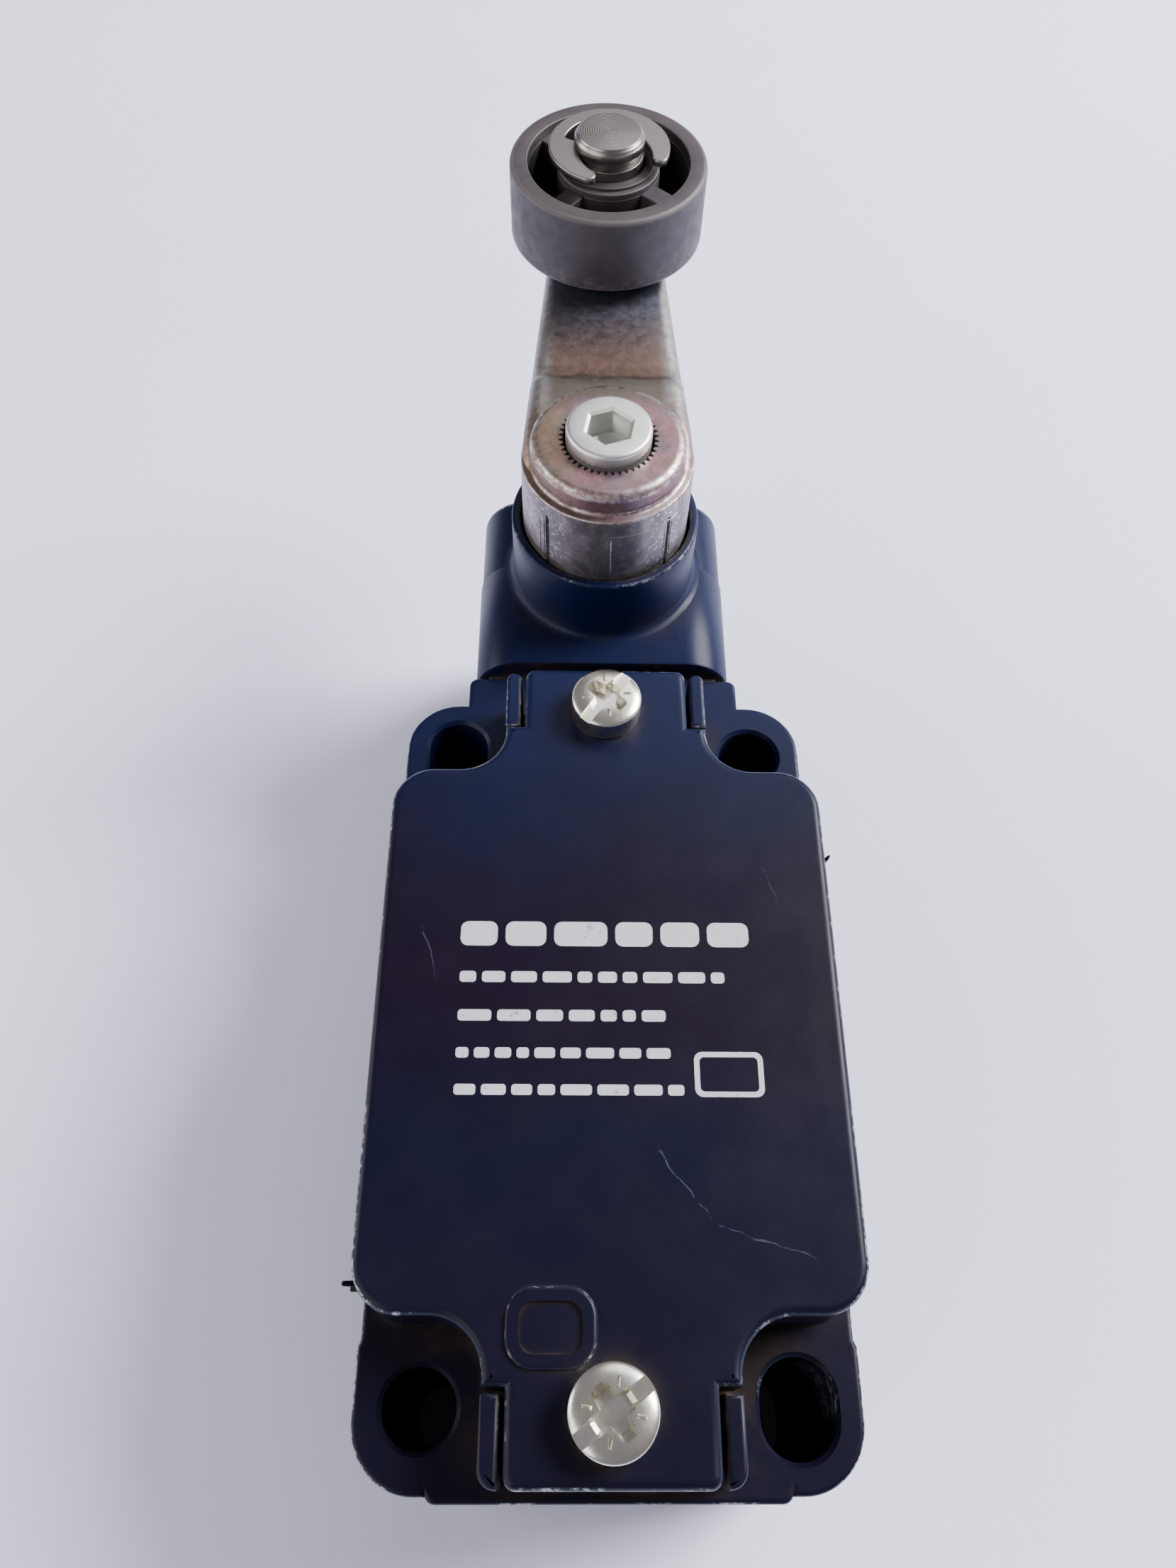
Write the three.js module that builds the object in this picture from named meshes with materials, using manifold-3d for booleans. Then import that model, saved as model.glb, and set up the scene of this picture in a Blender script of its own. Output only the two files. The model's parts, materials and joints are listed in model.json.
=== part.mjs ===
// Limit switch with a roller lever, in millimetres.
// The switch lies on its back: +X to the right, +Y towards the lever head, +Z out of the cover.
// The origin is on the mounting back face, at the centre of the four fixing holes.
import * as THREE from "three";
import { mergeVertices } from "three/addons/utils/BufferGeometryUtils.js";
import Module from "manifold-3d";

const wasm = await Module();
wasm.setup();

// ---------------------------------------------------------------- driving dimensions

const HOUSING = {
  sideX: 20.0, // half width of the side walls
  earX: 20.25, // half width over the fixing eyes
  earStartY: 25.0,
  earEndY: 36.0,
  earRadius: 5.2,
  blockX: 14.25, // half width of the two end blocks
  bottomY: -36.5,
  topY: 39.5,
  blockChamfer: 0.6,
  height: 30.2,
  floor: 3.0,
};
const CAVITY = { x: 17.2, y: 21.8, radius: 2.0, neckX: 7.6, neckY: 27.0, neckRadius: 1.5 };
const FIXING = { x: 15, y: 30, radius: 3.0, slotStretch: 0.75 };
const ENTRY = { radius: 9.25, z: 15 }; // M20 cable entry
const RIB = { x0: 8.35, x1: 9.85, y0: 29.2, y1: 35.4, top: 37.2, radius: 1.2 };

const GASKET = { thickness: 0.5, inset: 0.45, lip: 0.3, nibHalf: 0.3, nibRoot: 2.0 };
// Small tongues of the gasket that stick out from under the cover.
const GASKET_NIBS = [
  { side: -1, y: -21.2, reach: 0.9 },
  { side: 1, y: 17.9, reach: 0.6 },
];
const FACE_GAP = 0.05; // between faces that rest on each other

const COVER = {
  x: 20.2,
  shoulderY: 24.0,
  cornerRadius: 4.0,
  cutRadius: 4.2, // clearance round each fixing hole
  waistX: 9.8,
  stepY: 28.8,
  tabX: 8.0,
  tabY: 35.5,
  tabRadius: 1.0,
  top: 38.0,
  bevel: 0.8,
  roof: 2.2,
  wall: 2.2,
};
const COVER_SCREW = { y: 30.5, headRadius: 3.35, headHeight: 2.7, shankRadius: 1.9, length: 12.6 };
// Which end of the cover each screw is at, and how far its slot is turned from +X.
const COVER_SCREWS = {
  cover_screw_top: { end: 1, turn: 48 },
  cover_screw_bottom: { end: -1, turn: 23 },
};

const AXIS_Z = 19; // height of the drive rod and of the head's centre line
const HEAD = {
  half: 13.5,
  radius: 5.0,
  baseY: 39.95,
  endY: 63.3,
  bevel: 1.2,
  cavityRadius: 9.5,
  cavityEndY: 60.3,
  screwOffset: 8.8,
  collarRadius: 9.83,
  collarTop: 40.84,
  collarBore: 8.95,
  collarFloor: 34.3,
  collarInset: 0.2,
  fillet: 0.8,
  bushBore: 6.3,
  rearBore: 3.2,
  rearBoreFloor: 7.2,
  gasketInset: 0.7,
  gasketLip: 1.0,
};
const HEAD_SCREW = { headRadius: 2.8, headHeight: 2.2, shankRadius: 1.6, length: 29.2, headSeatY: 60.6 };

const SHAFT_Y = 53.3;
const SHAFT = {
  rearZ: 7.6,
  rearRadius: 2.95,
  squareZ: 12.5,
  squareHalf: 2.4,
  collarZ: 24.4,
  grooveZ: 25.3,
  grooveRadius: 3.3,
  journalZ: 26.6,
  journalRadius: 4.0,
  serratedZ: 38.2,
  serratedRadius: 4.9,
  top: 48.0,
};
const BUSH = { bore: 4.25, sleeveRadius: 6.1, sleeveZ: 28.8, flangeRadius: 8.6, flangeZ: 34.4, top: 35.3 };
const CIRCLIP = { outer: 5.6, gap: 0.2, mouth: 180, mouthHalf: 35 };
const SEAL = { ringRadius: 5.45, sectionRadius: 1.0, z: 36.6 };
const CAM = { radius: 6.0, flat: 4.2, z0: 14.8, z1: 23.2, holeHalf: 2.65 };

const LEVER = {
  length: 31.5, // shaft axis to roller axis
  hubRadius: 8.65,
  hubBottom: 35.9,
  hubTop: 49.4,
  sealRecessRadius: 7.2,
  sealRecessTop: 38.1,
  ringRadius: 7.73,
  ringTop: 51.6,
  bore: 5.3,
  rootHalf: 8.2,
  rootY: 2.7,
  tipRadius: 6.0,
  tipBearing: 8,
  armBottom: 45.0,
  armTop: 50.1,
  padTop: 50.6,
  padEnd: 9.4,
  bevel: 1.0,
  bossRadius: 5.6,
  bossTop: 51.3,
  edge: 0.3, // chamfers of the hub and its ring
  pinGap: 0.1,
};
const CLAMP_SCREW = {
  seatZ: 48.2,
  headRadius: 4.25,
  headHeight: 5.0,
  shankRadius: 2.4,
  length: 14,
  hexRadius: 2.31,
  hexDepth: 2.8,
  turn: 20,
};
const ROLLER = {
  radius: 10.42,
  bottom: 51.6,
  top: 59.8,
  rim: 0.5,
  recessRadius: 8.5,
  webBottom: 53.2,
  webTop: 58.2,
  hubRadius: 5.35,
  hubTop: 59.6,
  noseRadius: 5.0,
  noseTop: 60.1,
  bore: 3.86,
  spokeHalf: 1.1,
  spokeTurn: 4,
  windowEdge: 0.2, // web left beside the hub and the rim
};
const PIN = {
  radius: 3.65,
  top: 62.9,
  chamfer: 0.45,
  grooveZ: 61.15,
  grooveTop: 62.1,
  grooveRadius: 2.85,
  headRadius: 4.8,
  headBottom: 43.9,
};
const CLIP = {
  outer: 6.15,
  inner: 3.1,
  z: 61.3,
  thickness: 0.7,
  mouth: 294.6,
  mouthHalf: 47,
  notchRadius: 4.35,
  notchBearing: 45,
  notchHalf: 24,
};

const TRAVEL = 2.5; // stroke of the drive rod and the contact carrier
const PLATE = { radius: 8.9, y0: 45.5, y1: 46.9 };
const ROD = { radius: 2.8, y0: 22.6 };
const HEAD_SPRING = { radius: 4.6, wire: 0.45, y0: 35.75, turns: 4 };
const SPRING_POCKET = { radius: 5.8, y: 35.5 };
const CONTACT_SPRING = { radius: 1.3, wire: 0.25, turns: 4 };
const RETURN_SPRING = { radius: 1.9, wire: 0.3, turns: 4 };
const SPRING_GAP = 0.1; // between a spring's end and what it presses on

const BLOCK = {
  x: 16.3,
  y0: -13.5,
  y1: 21.5,
  z0: 8.0,
  z1: 24.5,
  radius: 1.8,
  wellX: 7.2,
  wellY0: -9.5,
  wellY1: 18.5,
  wellZ: 14.6,
  screwFloor: 14.0,
};
const BLOCK_LID = {
  x: 8.2,
  y0: -13.0,
  y1: 21.0,
  z0: 24.8,
  z1: 26.2,
  guideX: 1.5,
  guideHalf: 0.4,
  guideZ: 23.3,
};
const BLOCK_SCREWS = [
  { x: 13.2, y: 18.4 },
  { x: -13.2, y: -10.6 },
];
const BLOCK_BOSS = 2.8; // radius of the bosses under the contact block
const CARRIER = {
  x: 2.6,
  y0: -3.5,
  y1: 17.5,
  z0: 15.0,
  z1: 23.0,
  buttonRadius: 2.6,
  buttonY: 22.3,
  windowLowY: 4.6, // inner ends of the two windows
  windowHighY: 5.4,
};
const CONTACT = {
  barX: 6.4,
  barHalfZ: 2.0,
  bar: 0.8,
  button: 0.6,
  buttonRadius: 1.5,
  buttonX: 5.2,
  gap: 0.3,
  stripX: 4.2,
  strip: 1.0,
  stripZ: 16.2,
};
const TERMINAL = {
  x0: 8.9,
  x1: 15.9,
  half: 3.2,
  shelfZ: 20.0,
  padZ: 20.2,
  padTop: 21.2,
  screwX: 12.4,
  screwLength: 7.0,
  clampHalf: 2.6,
};
const CLAMP_THICKNESS = 0.8;
// Each pole: face of its fixed strip towards the bridge, and the centre of its terminals.
const POLES = {
  nc: { stripY: 13.0, terminalY: 11.8, bridgeBelow: true },
  no: { stripY: -5.0, terminalY: -4.6, bridgeBelow: false },
};
const EARTH = { x: -12.2, y: -17.9, radius: 3.3, top: 10.0, screwLength: 6.5, clampHalf: 2.9 };
const SMALL_SCREW = { headRadius: 2.7, headHeight: 2.0, shankRadius: 1.5 };
const THREAD_GAP = 0.2; // between a screw and its threaded hole
const LOOSE_GAP = 0.3; // round what passes through or drops into another part

const FINE = 32; // sides of the large round parts
const MEDIUM = 24;
const COARSE = 12;
const FULL_TURN = Math.PI * 2;
const OVERCUT = 1; // how far a cutting tool runs past the face it opens
const LAP = 0.01; // how far two shapes of one body run into each other
const BEYOND = 40; // reach of a cutting block past everything

// ---------------------------------------------------------------- shape helpers

function toSolid(geometry) {
  geometry.deleteAttribute("normal");
  geometry.deleteAttribute("uv");
  const merged = mergeVertices(geometry, 1e-4);
  const index = merged.index.array;
  const triVerts = [];
  for (let i = 0; i < index.length; i += 3) {
    const [a, b, c] = [index[i], index[i + 1], index[i + 2]];
    if (a !== b && b !== c && c !== a) {
      triVerts.push(a, b, c);
    }
  }
  const mesh = new wasm.Mesh({
    numProp: 3,
    vertProperties: Float32Array.from(merged.attributes.position.array),
    triVerts: Uint32Array.from(triVerts),
  });
  return new wasm.Manifold(mesh);
}

function toGeometry(solid) {
  const mesh = solid.getMesh();
  const geometry = new THREE.BufferGeometry();
  geometry.setAttribute("position", new THREE.BufferAttribute(mesh.vertProperties, 3));
  geometry.setIndex(new THREE.BufferAttribute(mesh.triVerts, 1));
  geometry.computeVertexNormals();
  return geometry;
}

function block(x0, x1, y0, y1, z0, z1) {
  const box = new THREE.BoxGeometry(x1 - x0, y1 - y0, z1 - z0);
  return toSolid(box.translate((x0 + x1) / 2, (y0 + y1) / 2, (z0 + z1) / 2));
}

// A round bar along Z.
function barZ(radius, z0, z1, x = 0, y = 0, sides = MEDIUM) {
  const bar = new THREE.CylinderGeometry(radius, radius, z1 - z0, sides);
  return toSolid(bar.rotateX(Math.PI / 2).translate(x, y, (z0 + z1) / 2));
}

// A round bar along Y.
function barY(radius, y0, y1, x = 0, z = 0, sides = MEDIUM) {
  const bar = new THREE.CylinderGeometry(radius, radius, y1 - y0, sides);
  return toSolid(bar.translate(x, (y0 + y1) / 2, z));
}

function extruded(shape, length, bevel) {
  const geometry = new THREE.ExtrudeGeometry(shape, {
    depth: length - 2 * bevel,
    bevelEnabled: bevel > 0,
    bevelThickness: bevel,
    bevelSize: bevel,
    bevelOffset: -bevel,
    bevelSegments: 2,
  });
  return geometry.translate(0, 0, bevel);
}

// A flat shape in X and Y, extruded from z0 to z1. A bevel takes off its edges at both ends.
function slab(shape, z0, z1, bevel = 0) {
  return toSolid(extruded(shape, z1 - z0, bevel).translate(0, 0, z0));
}

// A flat shape in X and Z, extruded from y0 to y1.
function slabY(shape, y0, y1, bevel = 0) {
  return toSolid(extruded(shape, y1 - y0, bevel).translate(0, 0, -y1).rotateX(Math.PI / 2));
}

// A closed profile of [radius, z] points, turned round the Z axis.
function turned(profile, sides = MEDIUM) {
  const points = profile.map(([radius, z]) => new THREE.Vector2(radius, z));
  return toSolid(new THREE.LatheGeometry(points, sides).rotateX(Math.PI / 2));
}

function arcPoints(x, y, radius, startDegrees, endDegrees, steps = 6) {
  const points = [];
  for (let i = 0; i <= steps; i += 1) {
    const angle = THREE.MathUtils.degToRad(startDegrees + ((endDegrees - startDegrees) * i) / steps);
    points.push(new THREE.Vector2(x + radius * Math.cos(angle), y + radius * Math.sin(angle)));
  }
  return points;
}

// Mirrors the points of the (+X, +Y) quarter, listed from the side to the end, into a whole outline.
function fourQuarters(upper, lower = upper) {
  const mirror = (points, sx, sy) => points.map((p) => new THREE.Vector2(p.x * sx, p.y * sy));
  return new THREE.Shape([
    ...mirror(upper, 1, 1),
    ...mirror(upper, -1, 1).reverse(),
    ...mirror(lower, -1, -1),
    ...mirror(lower, 1, -1).reverse(),
  ]);
}

function roundedRectangle(halfX, halfY, radius, steps = 6) {
  return fourQuarters(arcPoints(halfX - radius, halfY - radius, radius, 0, 90, steps));
}

function ordered(a, b) {
  return [Math.min(a, b), Math.max(a, b)];
}

function united(solids) {
  return solids.reduce((whole, piece) => whole.add(piece));
}

function helixSpring({ radius, wire, turns }, length) {
  const [stepsPerTurn, sides] = [9, 5];
  class Helix extends THREE.Curve {
    getPoint(t, target = new THREE.Vector3()) {
      const angle = t * turns * FULL_TURN;
      return target.set(radius * Math.cos(angle), wire + t * (length - 2 * wire), radius * Math.sin(angle));
    }
  }
  const section = new THREE.Shape(arcPoints(0, 0, wire, 0, 360 - 360 / sides, sides - 1));
  const steps = turns * stepsPerTurn;
  return toSolid(new THREE.ExtrudeGeometry(section, { steps, extrudePath: new Helix() }));
}

// A screw along Z with the underside of its head at z = 0.
function machineScrew({ headRadius, headHeight, shankRadius }, length, sides = COARSE) {
  const chamfer = 0.12 * headRadius;
  return turned(
    [
      [0, -length],
      [shankRadius, -length],
      [shankRadius, 0],
      [headRadius, 0],
      [headRadius, headHeight - chamfer],
      [headRadius - chamfer, headHeight],
      [0, headHeight],
    ],
    sides,
  );
}

// A straight driver slot with a cross in its middle, cut into the top of a head.
function driverRecess(headRadius, headHeight) {
  const slot = 0.12 * headRadius;
  const cross = 0.55 * headRadius;
  const top = headHeight + OVERCUT;
  return united([
    block(-headRadius - OVERCUT, headRadius + OVERCUT, -slot, slot, headHeight * 0.65, top),
    block(-cross, cross, -slot, slot, headHeight * 0.35, top),
    block(-slot, slot, -cross, cross, headHeight * 0.35, top),
  ]);
}

function recessedScrew(size, length, sides) {
  return machineScrew(size, length, sides).subtract(driverRecess(size.headRadius, size.headHeight));
}

// ---------------------------------------------------------------- scene

function material(color, roughness, metalness) {
  return new THREE.MeshStandardMaterial({ color, roughness, metalness });
}

const FINISH = {
  navyPaint: () => material("#10152c", 0.42, 0.25),
  rubber: () => material("#15130f", 0.85, 0.0),
  platedSteel: () => material("#b9b6a6", 0.32, 1.0),
  brightSteel: () => material("#a8a49d", 0.25, 1.0),
  zincChromate: () => material("#8a7a68", 0.42, 0.9),
  rollerPlastic: () => material("#3f3b3c", 0.6, 0.0),
  blackPlastic: () => material("#1c1c1f", 0.55, 0.0),
  palePlastic: () => material("#d8d2bf", 0.5, 0.0),
  brass: () => material("#b8964b", 0.3, 1.0),
  bronze: () => material("#9a7442", 0.4, 1.0),
  springSteel: () => material("#8d8f93", 0.3, 1.0),
};

function place(parent, name, solid, finish, position = [0, 0, 0], rotation = [0, 0, 0]) {
  const mesh = new THREE.Mesh(toGeometry(solid), finish());
  mesh.name = name;
  mesh.position.set(...position);
  mesh.rotation.set(...rotation);
  parent.add(mesh);
  return mesh;
}

const limitSwitch = new THREE.Group();
const headGroup = new THREE.Group();
const leverGroup = new THREE.Group();
const rollerGroup = new THREE.Group();
const contactGroup = new THREE.Group();
limitSwitch.add(headGroup, leverGroup, contactGroup);
leverGroup.add(rollerGroup);
headGroup.position.set(0, 0, AXIS_Z);
leverGroup.position.set(0, SHAFT_Y, 0);
rollerGroup.position.set(0, LEVER.length, 0);
contactGroup.position.set(0, 0, AXIS_Z);

// ---------------------------------------------------------------- housing

function housingQuarter(endY) {
  const { sideX, earX, earStartY, earEndY, earRadius, blockX, blockChamfer } = HOUSING;
  return [
    new THREE.Vector2(sideX, earStartY),
    new THREE.Vector2(earX, earStartY + earX - sideX),
    ...arcPoints(earX - earRadius, earEndY - earRadius, earRadius, 0, 90, 8),
    new THREE.Vector2(blockX, earEndY),
    new THREE.Vector2(blockX, endY - blockChamfer),
    new THREE.Vector2(blockX - blockChamfer, endY),
  ];
}

function cavityShape(grow = 0) {
  const { x, y, radius, neckX, neckY, neckRadius } = CAVITY;
  return fourQuarters([
    ...arcPoints(x + grow - radius, y + grow - radius, radius, 0, 90, 3),
    new THREE.Vector2(neckX + grow, y + grow),
    ...arcPoints(neckX + grow - neckRadius, neckY + grow - neckRadius, neckRadius, 0, 90, 3),
  ]);
}

// Long holes lie at two opposite corners, and round ones at the other two.
function fixingHole(sx, sy) {
  const [x, y] = [sx * FIXING.x, sy * FIXING.y];
  const stretch = sx * sy < 0 ? FIXING.slotStretch : 0;
  const outline = new THREE.Shape([
    ...arcPoints(x, y + stretch, FIXING.radius, 0, 180, 9),
    ...arcPoints(x, y - stretch, FIXING.radius, 180, 360, 9),
  ]);
  return slab(outline, -OVERCUT, HOUSING.height + OVERCUT);
}

function rib(sx, sy) {
  const { x0, x1, y0, y1, top, radius } = RIB;
  const quarter = [
    new THREE.Vector2(x0, y0),
    new THREE.Vector2(x1, y0),
    ...arcPoints(x1 - radius, y1 - radius, radius, 0, 90, 4),
    new THREE.Vector2(x0, y1),
  ];
  const outline = quarter.map((p) => new THREE.Vector2(p.x * sx, p.y * sy));
  return slab(new THREE.Shape(outline), HOUSING.height - OVERCUT, top);
}

function makeHousing() {
  const { height, floor, topY, bottomY } = HOUSING;
  const smallHole = SMALL_SCREW.shankRadius + THREAD_GAP;
  const coverHole = COVER_SCREW.shankRadius + THREAD_GAP;
  const coverHoleEnd = COVER.top - COVER_SCREW.length - LOOSE_GAP;
  const headHole = HEAD_SCREW.shankRadius + THREAD_GAP;
  const headHoleEnd = HEAD_SCREW.headSeatY - HEAD_SCREW.length - LOOSE_GAP;
  const outline = fourQuarters(housingQuarter(topY), housingQuarter(-bottomY));
  let solid = slab(outline, 0, height);
  solid = solid.subtract(slab(cavityShape(), floor, height + OVERCUT));
  solid = solid.subtract(barY(ENTRY.radius, bottomY - OVERCUT, -CAVITY.y + OVERCUT, 0, ENTRY.z, FINE));
  solid = solid.subtract(barY(ROD.radius + LOOSE_GAP, CAVITY.neckY - OVERCUT, topY, 0, AXIS_Z));
  solid = solid.subtract(barY(SPRING_POCKET.radius, SPRING_POCKET.y, topY + OVERCUT, 0, AXIS_Z));
  for (const sx of [-1, 1]) {
    for (const sy of [-1, 1]) {
      const x = sx * HEAD.screwOffset;
      const z = AXIS_Z + sy * HEAD.screwOffset;
      solid = solid.subtract(fixingHole(sx, sy));
      solid = solid.add(rib(sx, sy));
      solid = solid.subtract(barY(headHole, headHoleEnd, topY + OVERCUT, x, z, COARSE));
    }
  }
  for (const { end } of Object.values(COVER_SCREWS)) {
    const y = end * COVER_SCREW.y;
    solid = solid.subtract(barZ(coverHole, coverHoleEnd, height + OVERCUT, 0, y, COARSE));
  }
  for (const { x, y } of BLOCK_SCREWS) {
    solid = solid.add(barZ(BLOCK_BOSS, floor - OVERCUT, BLOCK.z0 - FACE_GAP, x, y, COARSE));
    solid = solid.subtract(barZ(smallHole, floor, BLOCK.z0 + OVERCUT, x, y, COARSE));
  }
  solid = solid.add(barZ(EARTH.radius, floor - OVERCUT, EARTH.top, EARTH.x, EARTH.y, COARSE));
  return solid.subtract(barZ(smallHole, floor, EARTH.top + OVERCUT, EARTH.x, EARTH.y, COARSE));
}

place(limitSwitch, "housing", makeHousing(), FINISH.navyPaint);

// ---------------------------------------------------------------- cover, its gasket and screws

function coverShape(inset = 0) {
  const c = COVER;
  const cutX = c.waistX + c.cutRadius;
  const cutY = c.shoulderY + c.cutRadius;
  return fourQuarters([
    ...arcPoints(c.x - c.cornerRadius, c.shoulderY - c.cornerRadius, c.cornerRadius - inset, 0, 90, 8),
    ...arcPoints(cutX, cutY, c.cutRadius + inset, -90, -180, 8),
    new THREE.Vector2(c.waistX - inset, c.stepY - inset),
    new THREE.Vector2(c.tabX - inset, c.stepY - inset),
    ...arcPoints(c.tabX - c.tabRadius, c.tabY - c.tabRadius, c.tabRadius - inset, 0, 90, 3),
  ]);
}

const gasketBottom = HOUSING.height + FACE_GAP;
const coverBottom = gasketBottom + GASKET.thickness + FACE_GAP;

// Clearance holes for the two cover screws, through everything between two heights.
function drillForCoverScrews(solid, z0, z1) {
  const radius = COVER_SCREW.shankRadius + LOOSE_GAP;
  const holes = Object.values(COVER_SCREWS).map(({ end }) =>
    barZ(radius, z0 - OVERCUT, z1 + OVERCUT, 0, end * COVER_SCREW.y, COARSE),
  );
  return solid.subtract(united(holes));
}

function makeGasket() {
  const top = gasketBottom + GASKET.thickness;
  let solid = slab(coverShape(GASKET.inset), gasketBottom, top);
  solid = solid.subtract(slab(cavityShape(GASKET.lip), gasketBottom - OVERCUT, top + OVERCUT));
  for (const { side, y, reach } of GASKET_NIBS) {
    const [x0, x1] = ordered(side * (COVER.x - GASKET.nibRoot), side * (COVER.x + reach));
    solid = solid.add(block(x0, x1, y - GASKET.nibHalf, y + GASKET.nibHalf, gasketBottom, top));
  }
  return drillForCoverScrews(solid, gasketBottom, top);
}

function makeCover() {
  const { top, roof, wall, bevel, x, shoulderY, cornerRadius } = COVER;
  const room = roundedRectangle(x - wall, shoulderY - wall, cornerRadius - wall, 3);
  const skirt = coverBottom - 2 * bevel; // the lower bevel is cut away
  let solid = slab(coverShape(), skirt, top, bevel);
  solid = solid.subtract(block(-BEYOND, BEYOND, -BEYOND, BEYOND, skirt - OVERCUT, coverBottom));
  solid = solid.subtract(slab(room, coverBottom - OVERCUT, top - roof));
  return drillForCoverScrews(solid, coverBottom, top);
}

place(limitSwitch, "cover_gasket", makeGasket(), FINISH.rubber);
place(limitSwitch, "cover", makeCover(), FINISH.navyPaint);
for (const [name, { end, turn }] of Object.entries(COVER_SCREWS)) {
  const solid = recessedScrew(COVER_SCREW, COVER_SCREW.length, MEDIUM);
  const position = [0, end * COVER_SCREW.y, COVER.top + FACE_GAP];
  place(limitSwitch, name, solid, FINISH.platedSteel, position, [0, 0, THREE.MathUtils.degToRad(turn)]);
}

// ---------------------------------------------------------------- head

const headCorners = [
  [-1, -1],
  [1, -1],
  [-1, 1],
  [1, 1],
];

// Heights in the head are measured from the drive rod's axis.
const headZ = (z) => z - AXIS_Z;

function makeHeadHousing() {
  const h = HEAD;
  const skirt = h.baseY - 2 * h.bevel; // the lower bevel is cut away
  const section = roundedRectangle(h.half, h.half, h.radius);
  let solid = slabY(section, skirt, h.endY, h.bevel);
  solid = solid.subtract(block(-BEYOND, BEYOND, skirt - OVERCUT, h.baseY, -BEYOND, BEYOND));
  const collar = turned(
    [
      [0, h.half - OVERCUT],
      [h.collarRadius + h.fillet, h.half - OVERCUT],
      [h.collarRadius + h.fillet, h.half],
      [h.collarRadius, h.half + h.fillet],
      [h.collarRadius, headZ(h.collarTop)],
      [0, headZ(h.collarTop)],
    ],
    FINE,
  ).translate([0, SHAFT_Y, 0]);
  const collarRoom = block(-BEYOND, BEYOND, h.baseY, h.endY - h.collarInset, 0, BEYOND);
  solid = solid.add(collar.intersect(collarRoom));
  solid = solid.subtract(barY(h.cavityRadius, h.baseY - OVERCUT, h.cavityEndY, 0, 0, FINE));
  solid = solid.subtract(
    barZ(h.collarBore, headZ(h.collarFloor), headZ(h.collarTop) + OVERCUT, 0, SHAFT_Y, FINE),
  );
  solid = solid.subtract(barZ(h.bushBore, 0, headZ(h.collarFloor) + OVERCUT, 0, SHAFT_Y));
  solid = solid.subtract(barZ(h.rearBore, headZ(h.rearBoreFloor), 0, 0, SHAFT_Y));
  const seat = HEAD_SCREW.headSeatY - FACE_GAP;
  for (const [sx, sz] of headCorners) {
    const [x, z] = [sx * h.screwOffset, sz * h.screwOffset];
    const [shank, head] = [HEAD_SCREW.shankRadius + LOOSE_GAP, HEAD_SCREW.headRadius + LOOSE_GAP];
    solid = solid.subtract(barY(shank, h.baseY - OVERCUT, h.endY + OVERCUT, x, z, COARSE));
    solid = solid.subtract(barY(head, seat, h.endY + OVERCUT, x, z, COARSE));
  }
  return solid;
}

function makeHeadGasket() {
  const [y0, y1] = [HOUSING.topY + FACE_GAP, HEAD.baseY - FACE_GAP];
  const { gasketInset, gasketLip } = HEAD;
  const half = HEAD.half - gasketInset;
  const aboveHousing = headZ(HOUSING.height - LOOSE_GAP);
  let solid = slabY(roundedRectangle(half, half, HEAD.radius - gasketInset), y0, y1);
  solid = solid.subtract(block(-BEYOND, BEYOND, y0 - OVERCUT, y1 + OVERCUT, aboveHousing, BEYOND));
  solid = solid.subtract(barY(HEAD.cavityRadius - gasketLip, y0 - OVERCUT, y1 + OVERCUT, 0, 0));
  for (const [sx, sz] of headCorners) {
    const [x, z] = [sx * HEAD.screwOffset, sz * HEAD.screwOffset];
    const radius = HEAD_SCREW.shankRadius + LOOSE_GAP;
    solid = solid.subtract(barY(radius, y0 - OVERCUT, y1 + OVERCUT, x, z, COARSE));
  }
  return solid;
}

place(headGroup, "head_housing", makeHeadHousing(), FINISH.navyPaint);
place(headGroup, "head_gasket", makeHeadGasket(), FINISH.rubber);
headCorners.forEach(([sx, sz], i) => {
  const position = [sx * HEAD.screwOffset, HEAD_SCREW.headSeatY, sz * HEAD.screwOffset];
  const solid = recessedScrew(HEAD_SCREW, HEAD_SCREW.length, COARSE);
  place(headGroup, `head_screw_${i + 1}`, solid, FINISH.platedSteel, position, [-Math.PI / 2, 0, 0]);
});

function makeBush() {
  const b = BUSH;
  return turned([
    [b.bore, b.sleeveZ],
    [b.sleeveRadius, b.sleeveZ],
    [b.sleeveRadius, b.flangeZ],
    [b.flangeRadius, b.flangeZ],
    [b.flangeRadius, b.top],
    [b.bore, b.top],
    [b.bore, b.sleeveZ],
  ]);
}

function makeSeal() {
  const section = arcPoints(SEAL.ringRadius, SEAL.z, SEAL.sectionRadius, 0, 360, 6);
  return turned(section.map((p) => [p.x, p.y]));
}

place(leverGroup, "shaft_bush", makeBush(), FINISH.bronze);
place(leverGroup, "shaft_seal", makeSeal(), FINISH.rubber);

// ---------------------------------------------------------------- shaft, cam and lever

function makeShaft() {
  const s = SHAFT;
  const half = s.squareHalf;
  const solid = united([
    barZ(s.rearRadius, s.rearZ, s.squareZ),
    block(-half, half, -half, half, s.squareZ - LAP, s.collarZ + LAP),
    barZ(s.journalRadius, s.collarZ, s.grooveZ),
    barZ(s.grooveRadius, s.grooveZ - LAP, s.journalZ + LAP),
    barZ(s.journalRadius, s.journalZ, s.serratedZ + LAP),
    barZ(s.serratedRadius, s.serratedZ, s.top, 0, 0, FINE),
  ]);
  const holeFloor = CLAMP_SCREW.seatZ - CLAMP_SCREW.length - LOOSE_GAP;
  return solid.subtract(barZ(CLAMP_SCREW.shankRadius + THREAD_GAP, holeFloor, s.top + OVERCUT));
}

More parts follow.
